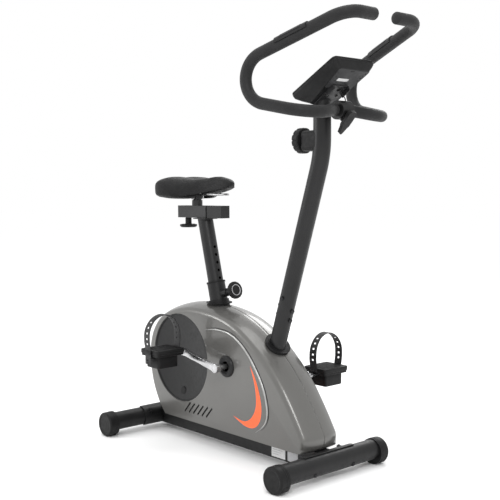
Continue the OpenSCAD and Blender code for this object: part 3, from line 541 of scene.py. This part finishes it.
def smooth_curve(points, steps):
    """A curve through the points, with steps pieces between each pair."""
    points = [Vector(p) for p in points]
    out = []
    for i in range(len(points) - 1):
        a, b = points[max(i - 1, 0)], points[i]
        c, d = points[i + 1], points[min(i + 2, len(points) - 1)]
        for k in range(steps):
            t = k / steps
            out.append(0.5 * (2 * b + (c - a) * t + (2 * a - 5 * b + 4 * c - d) * t * t
                              + (3 * b - a - 3 * c + d) * t ** 3))
    out.append(points[-1])
    return out


def baked(obj):
    """Applies the object's modifiers."""
    view = bpy.context.evaluated_depsgraph_get()
    mesh = bpy.data.meshes.new_from_object(obj.evaluated_get(view))
    obj.modifiers.clear()
    obj.data = mesh


def cut(obj, cutters):
    for cutter in cutters:
        change = obj.modifiers.new("cut", "BOOLEAN")
        change.object = cutter
        change.solver = "EXACT"
    baked(obj)
    for cutter in cutters:
        bpy.data.objects.remove(cutter)


# ---- Shell ----------------------------------------------------------------

SHELL_POINTS = [(-352, 70), (-395, 120), (-425, 180), (-438, 245), (-434, 305), (-412, 360),
                (-368, 408), (-300, 440), (-210, 458), (-110, 457), (-20, 443), (60, 414),
                (135, 368), (200, 315), (255, 258), (302, 194), (335, 142), (350, 112),
                (346, 82), (325, 70)]
CROWN = 60      # half width where the crowned top turns into the rounded edge
EDGE = 22       # radius of that rounded edge
DROP = 13.3     # how far the crown falls from the parting line to the edge
HALF = 73       # half width of the shell
COVER_HOLE, CRANK_HOLE, SEAT_HOLE, POST_HOLE = 145.6, 20, 33.3, 36.3    # radii


def shell_levels():
    """(half width, inset) pairs from the parting line to the flat side."""
    start = math.radians(24)
    out = [(0.35, 0.7), (0.8, 0.2), (1.4, 0.02)]
    out += [(CROWN * k / 8, DROP * (k / 8) ** 2) for k in range(1, 9)]
    base_y, base_d = CROWN - EDGE * math.sin(start), DROP + EDGE * math.cos(start)
    spare = HALF - base_y - EDGE
    for k in range(1, 12):
        a = start + (math.pi / 2 - start) * k / 11
        out.append((base_y + EDGE * math.sin(a) + spare * k / 11, base_d - EDGE * math.cos(a)))
    return out


def shell_rings(side, outline):
    rings = []
    for width, inset in shell_levels():
        ring = []
        for i, p in enumerate(outline):
            t = (outline[min(i + 1, len(outline) - 1)] - outline[max(i - 1, 0)]).normalized()
            z = max(p.y - inset * max(t.x, 0), SHELL_POINTS[0][1])
            ring.append(at(p.x + inset * t.y, side * width, z))
        rings.append(ring)
    return rings


def drum(centre, radius, low, high, direction=(0, 1, 0)):
    """A plain cutter, given in metres along direction from centre."""
    x, y = axes_for(direction)
    z = Vector(direction).normalized()
    rings = [[centre + z * h + x * radius * math.cos(k * math.pi / 48)
              + y * radius * math.sin(k * math.pi / 48) for k in range(96)] for h in (low, high)]
    points, faces = rings_mesh(rings)
    return piece("cutter", points, faces, PAINTED_SHADE, None)


def side_drum(x, z, radius, side):
    return drum(at(x, side * 64, z), radius * MM, -0.014, 0.02)


def side_frame(side, x=0, z=0, turn=0, y=HALF):
    """XY runs over the shell's side from that point, and Z points out of it."""
    out = Vector((0, side, 0))
    right = Vector((-side, 0, 0))
    up = Vector((0, 0, 1))
    basis = Matrix((right, up, out)).transposed().to_4x4()
    return Matrix.Translation(at(x, side * y, z)) @ basis @ Matrix.Rotation(math.radians(turn), 4, "Z")


def vent_places():
    return [(-203 + 22.5 * i, 115) for i in range(6)]


def add_shell():
    outline = [Vector((p.x, p.y)) for p in smooth_curve(
        [(x, z, 0) for x, z in SHELL_POINTS], 9)]
    fly_x, fly_z = (FLY.x - CRANK.x) / MM, FLY.z / MM
    post_axis = Vector((math.sin(POST_LEAN), 0, math.cos(POST_LEAN)))
    for word, side in SIDES.items():
        points, faces = rings_mesh(shell_rings(side, outline))
        faces = faces[:-2] + faces[-1:]      # the parting plane stays open
        half = piece("shell_half_" + word, points, faces, SHELL, "frame", hides=["shell_" + word])
        wall = half.modifiers.new("wall", "SOLIDIFY")
        wall.thickness = 0.003
        wall.offset = -1
        baked(half)
        cutters = [side_drum(fly_x, fly_z, COVER_HOLE, side),
                   side_drum(0, CRANK.z / MM, CRANK_HOLE, side),
                   drum(at(*SEAT_FOOT), SEAT_HOLE * MM, 0.3, 0.5, SEAT_AXIS),
                   drum(at(*POST_FOOT), POST_HOLE * MM, 0.2, 0.4, post_axis)]
        for x, z in vent_places():
            cutters.append(slab("cutter", rectangle(6, 47, 2.6), -9, 9,
                                side_frame(side, x, z, 43 * side), PAINTED_SHADE, None, 0.1))
        cut(half, cutters)
        shade(half, 32)
        # Dark plates just inside each vent slot: painted shade for the shell's dark inside.
        for x, z in vent_places():
            slab(f"painted_vent_shade_{word}_{int(-x)}", rectangle(10, 51, 3), -5.6, -4.4,
                 side_frame(side, x, z, 43 * side), PAINTED_SHADE, "frame", 0.2)
        add_ridge(word, side)
        add_stripe(word, side)
        add_cover(word, side, fly_x, fly_z)


def add_ridge(word, side):
    """A raised line that follows the shell's front edge in pale metal, a painted highlight, with a thin
    dark line of painted shade outside it where a cut channel would be.
    """
    line = smooth_curve([(-108, 0, 381), (-41, 0, 388), (28, 0, 378), (97, 0, 334),
                         (150, 0, 270), (178, 0, 216), (187, 0, 160), (170, 0, 124),
                         (132, 0, 96)], 10)
    # The ridge's pale metal paints a highlight; the line outside it is dark painted shade, not a cut.
    for name, reach, shift, lift, look in (("ridge", 3.2, 0, 0.7, RIDGE_HIGHLIGHT),
                                           ("painted_groove_shade", 1.1, 5.2, -0.5, PAINTED_SHADE)):
        path = []
        for i, p in enumerate(line):
            t = (line[min(i + 1, len(line) - 1)] - line[max(i - 1, 0)]).normalized()
            path.append(Vector((p.x - shift * t.z, side * (HALF + lift), p.z + shift * t.x)))
        sweep(f"side_{name}_{word}", path,
              lambda d, total: 0.2 + reach * min(1, d / 60, (total - d) / 90), look, "frame",
              sharp=80)


def add_stripe(word, side):
    """A plain crescent of coloured film beside the ridge."""
    outer = smooth_curve([(110, 298, 0), (136, 255, 0), (155, 205, 0), (160, 165, 0),
                          (150, 130, 0), (124, 109, 0), (84, 108, 0), (30, 129, 0)], 8)
    inner = smooth_curve([(30, 129, 0), (76, 121, 0), (106, 131, 0), (128, 156, 0),
                          (137, 190, 0), (131, 240, 0), (110, 298, 0)], 8)
    loop = [(-side * p.x, p.y) for p in outer + inner[1:-1]]
    place = side_frame(side)
    points = [place @ Vector((x * MM, y * MM, 0.25 * MM)) for x, y in loop]
    faces = []
    a = list(range(len(outer)))
    b = [0] + list(range(len(loop) - 1, len(outer) - 1, -1)) + [len(outer) - 1]
    steps = max(len(a), len(b)) - 1

    def pick(row, k):
        return row[round(k * (len(row) - 1) / steps)]

    for k in range(steps):
        face = []
        for v in (pick(a, k), pick(a, k + 1), pick(b, k + 1), pick(b, k)):
            if v not in face:
                face.append(v)
        if len(face) > 2:
            faces.append(tuple(face))
    piece("accent_stripe_" + word, points, faces, ORANGE, "frame", sharp=80)


def add_cover(word, side, fly_x, fly_z):
    dish = [(140.5 * k / 12, 53.5 + 15 * (k / 12) ** 1.5) for k in range(13)]
    profile = dish + rounded_profile([(140.6, 69.8), (142, 72), (145, 72), (145, 62)], 1.2)
    profile += [(143, 60), (0, 50)]
    lathe("round_cover_" + word, profile, at(fly_x, 0, fly_z), (0, side, 0), COVER, "frame",
          steps=144, sharp=28, hides=["round_covers"])
    lathe("cover_plug_" + word, rounded_profile([(0, 60), (15, 60), (15, 65.4), (11, 66), (0, 66)],
          1), at(fly_x + 4, 0, fly_z - 112), (0, side, 0), BLACK, "frame", steps=48)


# ---- Handlebar ------------------------------------------------------------

BAR_POINTS = [(420, -26, 1041), (420, -40, 1041), (485, -161, 1018), (64, -255, 1111),
              (572, -145, 1273), (572, -37, 1273)]
BAR_BENDS = [40, 78, 69, 62]
GRIP = 16.7


def add_grips():
    def radius(d, total):
        end = total - d
        nose = GRIP * math.sqrt(max(0.0, 1 - (1 - min(1, end / 9)) ** 2)) if end < 9 else GRIP
        start = GRIP - 1.2 + 1.2 * min(1, d / 2)
        return max(0.4, min(nose, start))
    for word, side in SIDES.items():
        path = bent_path(BAR_POINTS, BAR_BENDS, 5)
        last = path.pop()
        ahead = (last - path[-1]).normalized()
        near = last - ahead * 9
        path += [near + ahead * v for v in (0, 2, 4, 6, 7.4, 8.4, 8.8, 9)]
        path = [Vector((p.x, -side * p.y, p.z)) for p in path]
        sweep("foam_grip_" + word, path, radius, FOAM, "handlebar", sharp=60,
              hides=["grip_" + word])
        add_pulse_plate(word, side)


def add_pulse_plate(word, side):
    """Two metal contact strips let into each half sleeve."""
    a, b = Vector(BAR_POINTS[3]), Vector(BAR_POINTS[4])
    mid = a + 0.69 * (b - a)
    d = (b - a).normalized()
    mid.y, d.y = -side * mid.y, -side * d.y
    x, y = axes_for(d, (0, 0, 1))
    for turn, tag in ((-42, "outer"), (42, "inner")):
        rings = []
        for h in (-34, -33, 33, 34):
            ring = []
            for k in range(9):
                v = math.radians(turn - 22 + 44 * k / 8)
                ring.append(at(*(mid + d * h + (x * math.cos(v) + y * math.sin(v)) * 20.3)))
            rings.append(ring)
        points, faces = rings_mesh(rings, False, False)
        plate = piece(f"pulse_contact_{word}_{tag}", points, faces, BLACK_OXIDE, "handlebar", sharp=60)
        thick = plate.modifiers.new("thick", "SOLIDIFY")
        thick.thickness = 0.0008


# ---- Pedals and straps ----------------------------------------------------

def pedal_centre(word):
    return Vector(JOINTS[word + "_pedal_spin"]["pos_m"])


PEDAL_LENGTH = 93.4
PEDAL_WIDTH = 105.6


def add_cranks():
    """Flat forged arms with round ends, the axle's boss and the pedal's spindle."""
    for word, side in SIDES.items():
        pedal = pedal_centre(word)
        out = Vector((0, side, 0))
        along = Vector((pedal.x - CRANK.x, 0, pedal.z - CRANK.z))
        length = along.length / MM
        along.normalize()
        basis = Matrix((along, out.cross(along), out)).transposed().to_4x4()
        place = Matrix.Translation(Vector((CRANK.x, 0, CRANK.z))) @ basis
        outline = [(13.5 * math.cos(a), 13.5 * math.sin(a)) for a in
                   (math.radians(100 + 10 * k) for k in range(17))]
        outline += [(length * t, -11 + 2.4 * t) for t in (0.1, 0.3, 0.5, 0.7, 0.88)]
        outline += [(length + 11.5 * math.cos(a), 11.5 * math.sin(a)) for a in
                    (math.radians(-80 + 10 * k) for k in range(17))]
        outline += [(length * t, 11 - 2.4 * t) for t in (0.88, 0.7, 0.5, 0.3, 0.1)]
        slab("crank_arm_" + word, outline, 111, 122.6, place, POLISHED, "crank", 1.4,
             hides=[word + "_crank"])
        hub = Vector((CRANK.x, 0, CRANK.z))
        lathe("crank_boss_" + word, rounded_profile([(9, 104.2), (13.6, 104.2), (14, 112),
              (14, 123.2), (12.8, 124), (10.4, 124), (10.1, 123), (10.1, 110), (9, 110)], 0.8),
              hub, out, POLISHED, "crank", steps=60, ring=True)
        end = Vector((pedal.x, 0, pedal.z))
        lathe("crank_spindle_" + word, rounded_profile([(0, 110), (8, 110), (8, 123.4), (9, 123.6),
              (9, 128), (6, 128.4), (6, 239), (0, 239.5)], 0.5), end, out, POLISHED, "crank",
              steps=48)


def add_pedals():
    for word, side in SIDES.items():
        o = pedal_centre(word)
        level = Matrix.Translation(o)
        body = word + "_pedal"
        slab("pedal_tread_" + word, rectangle(PEDAL_LENGTH, PEDAL_WIDTH, 8), 6, 20.5,
             level, BLACK, body, 2.2, hides=[body])
        slab("pedal_skirt_" + word, rectangle(PEDAL_LENGTH - 5, PEDAL_WIDTH - 4, 6), -0.5, 6.5,
             level, BLACK, body, 1)
        slab("pedal_weight_" + word, rectangle(66, 76, 8, 0, side * 2), -38.5, 0,
             level, BLACK, body, 4)
        slab("pedal_foot_" + word, rectangle(50, 60, 5, 0, side * 2), -39, -37,
             level, RUBBER, body, 1)
        for k in range(9):
            slab(f"pedal_rib_{word}_{k}", rectangle(3.4, 86, 1.4, -36 + 9 * k, 0), 20, 21.4,
                 level, BLACK, body, 0.5)
        lathe("pedal_cap_" + word, rounded_profile([(0, 39), (9, 39), (9, 52), (7, 52.8), (0, 52.8)],
              1.2), o, (0, side, 0), BLACK, body, steps=36)
        add_strap(word, side, o, body)


STRAP_Y = PEDAL_WIDTH / 2 + 0.9     # inside face of the strap, from the pedal's middle


def add_strap(word, side, o, body):
    """A slotted strap from its hanging outer end over the foot to the crank side."""
    y = STRAP_Y
    line = smooth_curve([(y, 0, -24), (y, 0, 2), (y, 0, 14), (y, 0, 23), (57.5, 0, 50),
                         (54, 0, 84), (33, 0, 113), (0, 0, 125), (-32, 0, 114), (-52, 0, 86),
                         (-57, 0, 52), (-y, 0, 23), (-y, 0, 14), (-y, 0, 9)], 6)
    ways, rings = [], []
    for i, p in enumerate(line):
        t = (line[min(i + 1, len(line) - 1)] - line[max(i - 1, 0)]).normalized()
        out = Vector((t.z, 0, -t.x))
        ways.append((p, out))
        half = 14.6 - 1.4 * math.exp(-((p.z - 118) / 26) ** 2)
        ring = []
        for u, v in ((-half, 0.3), (-half + 1.4, 0), (0, 0.3), (half - 1.4, 0), (half, 0.3),
                     (half, 2.4), (half - 1.6, 2.9), (0, 2.5), (1.6 - half, 2.9), (-half, 2.4)):
            q = p + out * v
            ring.append(o + Vector((u, side * q.x, q.z)) * MM)
        rings.append(ring)
    points, faces = rings_mesh(rings)
    strap = piece("foot_strap_" + word, points, faces, STRAP, None, sharp=40)
    slots = []
    for k in (1, 3, 22, 25, 28, 31, 34, 49, 52, 55, 58, 61):
        p, out = ways[k]
        spot = o + Vector((0, side * p.x, p.z)) * MM
        z = Vector((0, side * out.x, out.z))
        x = Vector((1, 0, 0))
        basis = Matrix((x, z.cross(x), z)).transposed().to_4x4()
        slots.append(slab("cutter", rectangle(9, 6, 1.5), -4, 7, Matrix.Translation(spot) @ basis,
                          PAINTED_SHADE, None, 0.1))
    cut(strap, slots)
    shade(strap, 40)
    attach(strap, body)
    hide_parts(word + "_strap")
    buckle = Matrix.Translation(o + Vector((0, side * (y + 3), 13)) * MM)
    buckle = buckle @ Matrix.Rotation(-side * math.pi / 2, 4, "X")
    slab("strap_buckle_" + word, rectangle(34, 11, 3), -0.2, 2.2, buckle, BLACK, body, 1.0)


# ---- Knobs ----------------------------------------------------------------

def tension_ribs(angle, radius):
    return 1 - 0.075 * max(0.0, math.cos(12 * angle)) ** 3 * min(1, max(0, (radius - 23) / 6))


def pin_flutes(angle, radius):
    return 1 - 0.03 * max(0.0, math.cos(16 * angle)) * (radius > 25)


def slider_lobes(angle, radius):
    return 1 - 0.05 * (0.5 + 0.5 * math.cos(10 * angle)) * (radius > 22)


def add_knobs():
    centre = Vector(JOINTS["tension_turn"]["pos_m"])
    centre.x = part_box("tension_base")[0][0]
    profile = rounded_profile([(0, 0.5), (20, 0.5), (20, 5), (35, 5.4), (37, 8), (37, 27),
                               (32, 31), (20, 32.4), (18.5, 31.6), (0, 32)], 2)
    lathe("tension_cap", profile, centre, (-1, 0, 0), BLACK, "tension_knob", steps=168, sharp=50,
          wave=tension_ribs, hides=["tension_knob"])
    place = Matrix.Translation(centre + Vector((-0.0316, 0, 0.0262)))
    place = place @ Matrix.Rotation(-math.pi / 2, 4, "Y")
    slab("tension_pointer", rectangle(9, 2.4, 1.1), -1.6, 0.5, place, BLANK, "tension_knob", 0.3)
    pin = Vector(JOINTS["pin_pull"]["axis"])
    start = at(*SEAT_FOOT) + PIN_HEIGHT * MM * SEAT_AXIS
    profile = rounded_profile([(0, 25.6), (4.9, 25.6), (4.9, 54), (12, 54), (14, 66), (19, 75.5),
                               (26, 82), (27.8, 85), (27.8, 92), (25, 94.8), (17.5, 95),
                               (16.5, 93.4), (0, 93.4)], 1.6)
    lathe("pull_knob", profile, start, pin, BLACK, "pop_pin", steps=128, sharp=40, wave=pin_flutes,
          hides=["pop_pin"])
    lathe("pull_knob_ring", rounded_profile([(15.5, 93), (17.6, 93), (17.6, 95.3), (16, 95.3)],
          0.5), start, pin, PALE_RING, "pop_pin", steps=96, ring=True)
    slide = Vector(JOINTS["slider_knob_turn"]["pos_m"])
    profile = rounded_profile([(0, -11), (24, -11), (28, -8), (29, -5), (28.5, -1), (21, 0.2),
                               (11, 0.6), (10.5, 3), (10.5, 21.4), (0, 21.6)], 2)
    lathe("slider_knob_cap", profile, slide, (0, 0, 1), BLACK, "slider_knob", steps=120,
          sharp=45, wave=slider_lobes, hides=["slider_knob"])


# ---- Console --------------------------------------------------------------

def console_frame():
    """The face's own frame: X runs up the slope, Y to the left and Z out of the face."""
    tilt = math.radians(28)
    x = Vector((math.cos(tilt), 0, math.sin(tilt)))
    z = Vector((-math.sin(tilt), 0, math.cos(tilt)))
    basis = Matrix((x, Vector((0, 1, 0)), z)).transposed().to_4x4()
    return Matrix.Translation(at(301, 0, 1085.6)) @ basis


def back_frame():
    """XY runs over the console's back panel, and Z points out of it."""
    low, high = Vector((21, 0, -39.4)), Vector((178, 0, -25.1))
    x = (high - low).normalized()
    out = Vector((x.z, 0, -x.x))
    basis = Matrix((x, Vector((0, -1, 0)), out)).transposed().to_4x4()
    return console_frame() @ Matrix.Translation(low * MM) @ basis


def console_shell():
    """The back's lofted housing, with rounded corners all round."""
    rings = []
    top = rounded_loop([(0.5, -79.5), (187.5, -79.5), (187.5, 79.5), (0.5, 79.5)], 12, 6)
    low = rounded_loop([(22, -45), (177, -62), (177, 62), (22, 45)], 12, 6)

    def depth(p):
        return -39.4 + (p[0] - 21) * 14.3 / 157

    for t, pull in ((0, 0), (0.14, 0.0), (0.3, 0.06), (0.6, 0.45), (0.88, 0.88), (0.96, 0.96), (1, 1)):
        ring = []
        for a, b in zip(top, low):
            q = Vector(a) * (1 - pull) + Vector(b) * pull
            ring.append((q.x, q.y, -0.2 * (1 - t) + depth(q) * t))
        rings.append(ring)
    centre = Vector((100, 0))
    last = rings[-1]
    rings.append([(centre.x + (p[0] - centre.x) * 0.97, p[1] * 0.96,
                   depth((centre.x + (p[0] - centre.x) * 0.97, 0)) - 0.3) for p in last])
    place = console_frame()
    rings = [[place @ (Vector(p) * MM) for p in ring] for ring in rings]
    points, faces = rings_mesh(rings)
    piece("console_housing", points, faces, CONSOLE, "frame", sharp=38, hides=["console_back"])


def add_console():
    console_shell()
    face, back = console_frame(), back_frame()
    outline = rounded_loop([(0, -80), (188, -80), (188, 80), (0, 80)], 14, 6)
    slab("console_face", outline, 0.2, 4.6, face, CONSOLE, "frame", 1.4, hides=["console_front"])
    slab("console_inlay", rectangle(170, 142, 9, 94, 0), 4.2, 5.0, face, PANEL, "frame", 0.3)
    slab("display_frame", rectangle(70, 112, 7, 118, 0), 4.6, 6.2, face, BLACK, "frame", 0.8)
    slab("display_window", rectangle(60, 102, 5, 118, 0), 5.6, 6.7, face, LENS, "frame", 0.3,
         hides=["console_lens"])
    for row, (x, wide) in enumerate(((136, 10), (118, 16), (100, 10))):
        for k in range(5):
            slab(f"display_cell_{row}_{k}", rectangle(wide * 0.62, 7.4, 1, x, -34 + 17 * k), 6.4, 6.8,
                 face, SEGMENT, "frame", 0.1)
    for word, y in (("left", 38), ("middle", 0), ("right", -38)):
        spot = face @ (Vector((38, y, 0)) * MM)
        out = face.to_3x3() @ Vector((0, 0, 1))
        lathe("key_" + word, rounded_profile([(0, -0.4), (8.9, -0.4), (8.9, 6.2), (7.6, 7), (0, 7.4)],
              0.8), spot, out, SOFT_GREY, "button_" + word, steps=48, hides=["button_" + word])
        lathe("key_ring_" + word, rounded_profile([(9.4, 4), (11.2, 4), (11, 5.8), (9.5, 5.8)], 0.4),
              spot, out, BLACK, "frame", steps=48, ring=True)
    panel = rounded_loop([(75, -50), (154, -58.5), (154, 58.5), (75, 50)], 7, 5)
    slab("console_back_panel", panel, -0.4, 0.9, back, PANEL, "frame", 0.5)
    slab("console_back_label", rectangle(11, 42, 1, 112, 11), 0.7, 1.3, back, BLANK, "frame", 0.15)
    # The slot is a flat dark piece on the panel: painted shade, not an opening.
    slab("painted_slot_shade", rectangle(5, 16, 2, 148, 3.5), 0.6, 1.2, back, PAINTED_SHADE, "frame", 0.1)
    out = back.to_3x3() @ Vector((0, 0, 1))
    # These holes are flat dark discs on the panel: painted shade, not openings.
    for k, (x, y) in enumerate(((137, 50), (123, 45), (107, 39), (115, -46), (125, -48),
                                (135, -50), (144, -52))):
        lathe(f"painted_hole_shade_{k}", [(0, 0.2), (2.6, 0.2), (2.6, 1.15), (0, 1.15)],
              back @ (Vector((x, y, 0)) * MM), out, PAINTED_SHADE, "frame", steps=20)


WIRE_POINTS = [(404, 6, 1102), (406, 7, 1095), (411, 9, 1086), (418, 10, 1078),
               (422, 10, 1072), (423, 10, 1067)]


def add_sensor_wire():
    """The short wire from the console's back down to the handlebar."""
    line = [at(*p) for p in smooth_curve(WIRE_POINTS, 4)]
    curve = bpy.data.curves.new("sensor_lead", "CURVE")
    curve.dimensions = "3D"
    curve.bevel_depth = 0.0015
    curve.bevel_resolution = 4
    spline = curve.splines.new("POLY")
    spline.points.add(len(line) - 1)
    for point, place in zip(spline.points, line):
        point.co = (*place, 1)
    lead = bpy.data.objects.new("sensor_lead", curve)
    bpy.context.scene.collection.objects.link(lead)
    curve.materials.append(RUBBER)
    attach(lead, "frame")
    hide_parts("sensor_wire")


# ---- Base details ---------------------------------------------------------

def add_base():
    beam = [Vector(v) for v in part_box("base_beam")]
    side = Matrix.Translation(Vector((CRANK.x, beam[0].y, 0)))
    side = side @ Matrix.Rotation(math.pi / 2, 4, "X")
    slab("beam_label_front", rectangle(44, 30, 2, 244, 36), -0.2, 0.5, side, SILVER, "frame", 0.2)
    slab("beam_label_rear", rectangle(60, 32, 2, 182, 37), -0.2, 0.5, side, BLANK, "frame", 0.2)
    for k in range(3):
        slab(f"beam_label_bar_{k}", rectangle(44 - 8 * k, 2, 0.8, 178 - 4 * k, 44 - 7 * k), 0.3, 0.7,
             side, SILVER, "frame", 0.1)
    for word, sign in SIDES.items():
        for x in (-196, 268):
            slab(f"shell_clip_{word}_{'front' if x > 0 else 'rear'}", rectangle(12, 8, 2),
                 -1, 1.6, side_frame(sign, x, 73, 0, 71), BLACK, "frame", 0.6)
    for word, sign in SIDES.items():
        for node, x, r, half in (("front", 366, 38.6, 221), ("rear", -439, 40.2, 246)):
            centre = at(x, 0, r)
            body = "frame" if node == "front" else "rear_cap_" + word
            for k, h in enumerate((half - 30, half - 24)):
                rib = lathe(f"{node}_cap_rib_{word}_{k}", rounded_profile([(r - 2, h), (r + 0.7, h),
                            (r + 0.7, h + 2.4), (r - 2, h + 2.4)], 0.7), centre, (0, sign, 0),
                            BLACK, body, steps=96, ring=True)
                for v in rib.data.vertices:
                    v.co.z = max(v.co.z, 0.0001)


# ---- Saddle ---------------------------------------------------------------

SADDLE_ROWS = [(0, 6, 843, 851), (6, 15, 836, 858), (20, 22, 829, 864), (45, 27, 822, 867),
               (80, 31, 816, 868), (115, 40, 810, 864), (145, 58, 804, 860), (175, 84, 800, 860),
               (205, 110, 799, 864), (232, 124, 800, 869), (256, 125, 802, 870),
               (275, 112, 804, 867), (289, 88, 809, 860), (296, 50, 818, 848)]
SADDLE_NOSE = -45
SWELL_LIMIT = 0.004         # metres
CHANNEL_DEPTH = 3.0
CHANNEL_WIDTH = 16
UPPER_SIDE = 0.838          # height of the lowest point that the channel moves, in metres


def saddle_rows(steps):
    """(distance back, half width, bottom, top) rows on smooth curves through the main ones."""
    flat = smooth_curve([(d, w, b) for d, w, b, _ in SADDLE_ROWS], steps)
    tops = smooth_curve([(d, t, 0) for d, _, _, t in SADDLE_ROWS], steps)
    return [(p.x, p.y, p.z, q.y) for p, q in zip(flat, tops)]


def saddle_ring(row, count, shrink, low, high):
    """One section of the saddle. low and high are the exponents of its under and upper side."""
    d, w, bottom, top = row
    w, bottom, top = max(w - shrink, 1.5), bottom + shrink, top - shrink
    middle, tall = (bottom + top) / 2, max((top - bottom) / 2, 1)
    ring = []
    for k in range(count):
        a = 2 * math.pi * k / count
        c, s = math.cos(a), math.sin(a)
        y = w * math.copysign(abs(c) ** (0.55 if s > 0 else 0.3), c)
        z = middle + tall * math.copysign(abs(s) ** (high if s > 0 else low), s)
        ring.append(at(SADDLE_NOSE - d, y, z))
    return ring


def inflated(obj):
    """Swells the closed form a little, as foam under a stretched cover does."""
    scene = bpy.context.scene
    remesh = obj.modifiers.new("even", "REMESH")
    remesh.mode = "VOXEL"
    remesh.voxel_size = 0.005
    baked(obj)
    before = [v.co.copy() for v in obj.data.vertices]
    cloth = obj.modifiers.new("cover", "CLOTH")
    cloth.settings.quality = 4
    cloth.settings.mass = 0.4
    cloth.settings.tension_stiffness = 12
    cloth.settings.compression_stiffness = 12
    cloth.settings.bending_stiffness = 1.2
    cloth.settings.use_pressure = True
    cloth.settings.uniform_pressure_force = 4
    cloth.settings.effector_weights.gravity = 0
    for number in range(1, 21):
        scene.frame_set(number)
    baked(obj)
    scene.frame_set(1)
    for start, v in zip(before, obj.data.vertices):
        move = v.co - start
        if move.length > SWELL_LIMIT:
            v.co = start + move.normalized() * SWELL_LIMIT


def add_saddle():
    rows = saddle_rows(4)
    rings = [saddle_ring(row, 64, 2.6, 0.25, 0.7) for row in rows]
    points, faces = rings_mesh(rings)
    pad = piece("saddle_cover", points, faces, VINYL, None, sharp=180)
    inflated(pad)
    shape_top(pad)
    pad.modifiers.new("fine", "SUBSURF").levels = 1
    baked(pad)
    pad.data.materials.clear()
    pad.data.materials.append(VINYL)
    shade(pad, 180)
    cut(pad, [clamp_recess(796, 826)])
    shade(pad, 60)
    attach(pad, "saddle")
    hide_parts("saddle")
    add_saddle_pan()


def shape_top(pad):
    """Presses a shallow channel along the middle of the top."""
    for v in pad.data.vertices:
        x, y = (v.co.x - CRANK.x) / MM, v.co.y / MM
        back = SADDLE_NOSE - x
        if v.co.z < UPPER_SIDE:
            continue
        fade = max(0.0, min(1, (back - 55) / 60, (285 - back) / 40))
        v.co.z -= CHANNEL_DEPTH * math.exp(-(y / CHANNEL_WIDTH) ** 2) * fade * MM


def clamp_recess(low, high):
    """A cutter for the clamp's hollow under the saddle, between two heights."""
    xs, ys, zs = zip(at(-295, -36, low), at(-170, 36, high))
    points = [(x, y, z) for x in xs for y in ys for z in zs]
    faces = [(0, 1, 3, 2), (4, 6, 7, 5), (0, 4, 5, 1), (2, 3, 7, 6), (0, 2, 6, 4), (1, 5, 7, 3)]
    return piece("cutter", points, faces, PAINTED_SHADE, None)


def add_saddle_pan():
    """The moulded base under the padding."""
    rows = [r for r in saddle_rows(3) if 12 < r[0] < 286]
    rings = []
    for d, w, bottom, _ in rows:
        ring = []
        w = max(w * 0.84, 3)
        for k in range(24):
            a = 2 * math.pi * k / 24
            y = w * math.copysign(abs(math.cos(a)) ** 0.6, math.cos(a))
            z = bottom + 3.4 + 2.6 * math.sin(a)
            ring.append(at(SADDLE_NOSE - d, y, z))
        rings.append(ring)
    points, faces = rings_mesh(rings)
    pan = piece("saddle_base", points, faces, BLACK, None, sharp=50)
    cut(pan, [clamp_recess(780, 840)]
        + [drum(at(-150, s * 19, 800), 0.006, -0.05, 0.05, (1, 0, 0)) for s in (-1, 1)])
    shade(pan, 50)
    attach(pan, "saddle")


# ---- The whole model ------------------------------------------------------

add_camera()
add_studio()
dress_nodes()
add_shell()
add_grips()
add_cranks()
add_pedals()
add_knobs()
add_console()
add_base()
add_sensor_wire()
add_saddle()
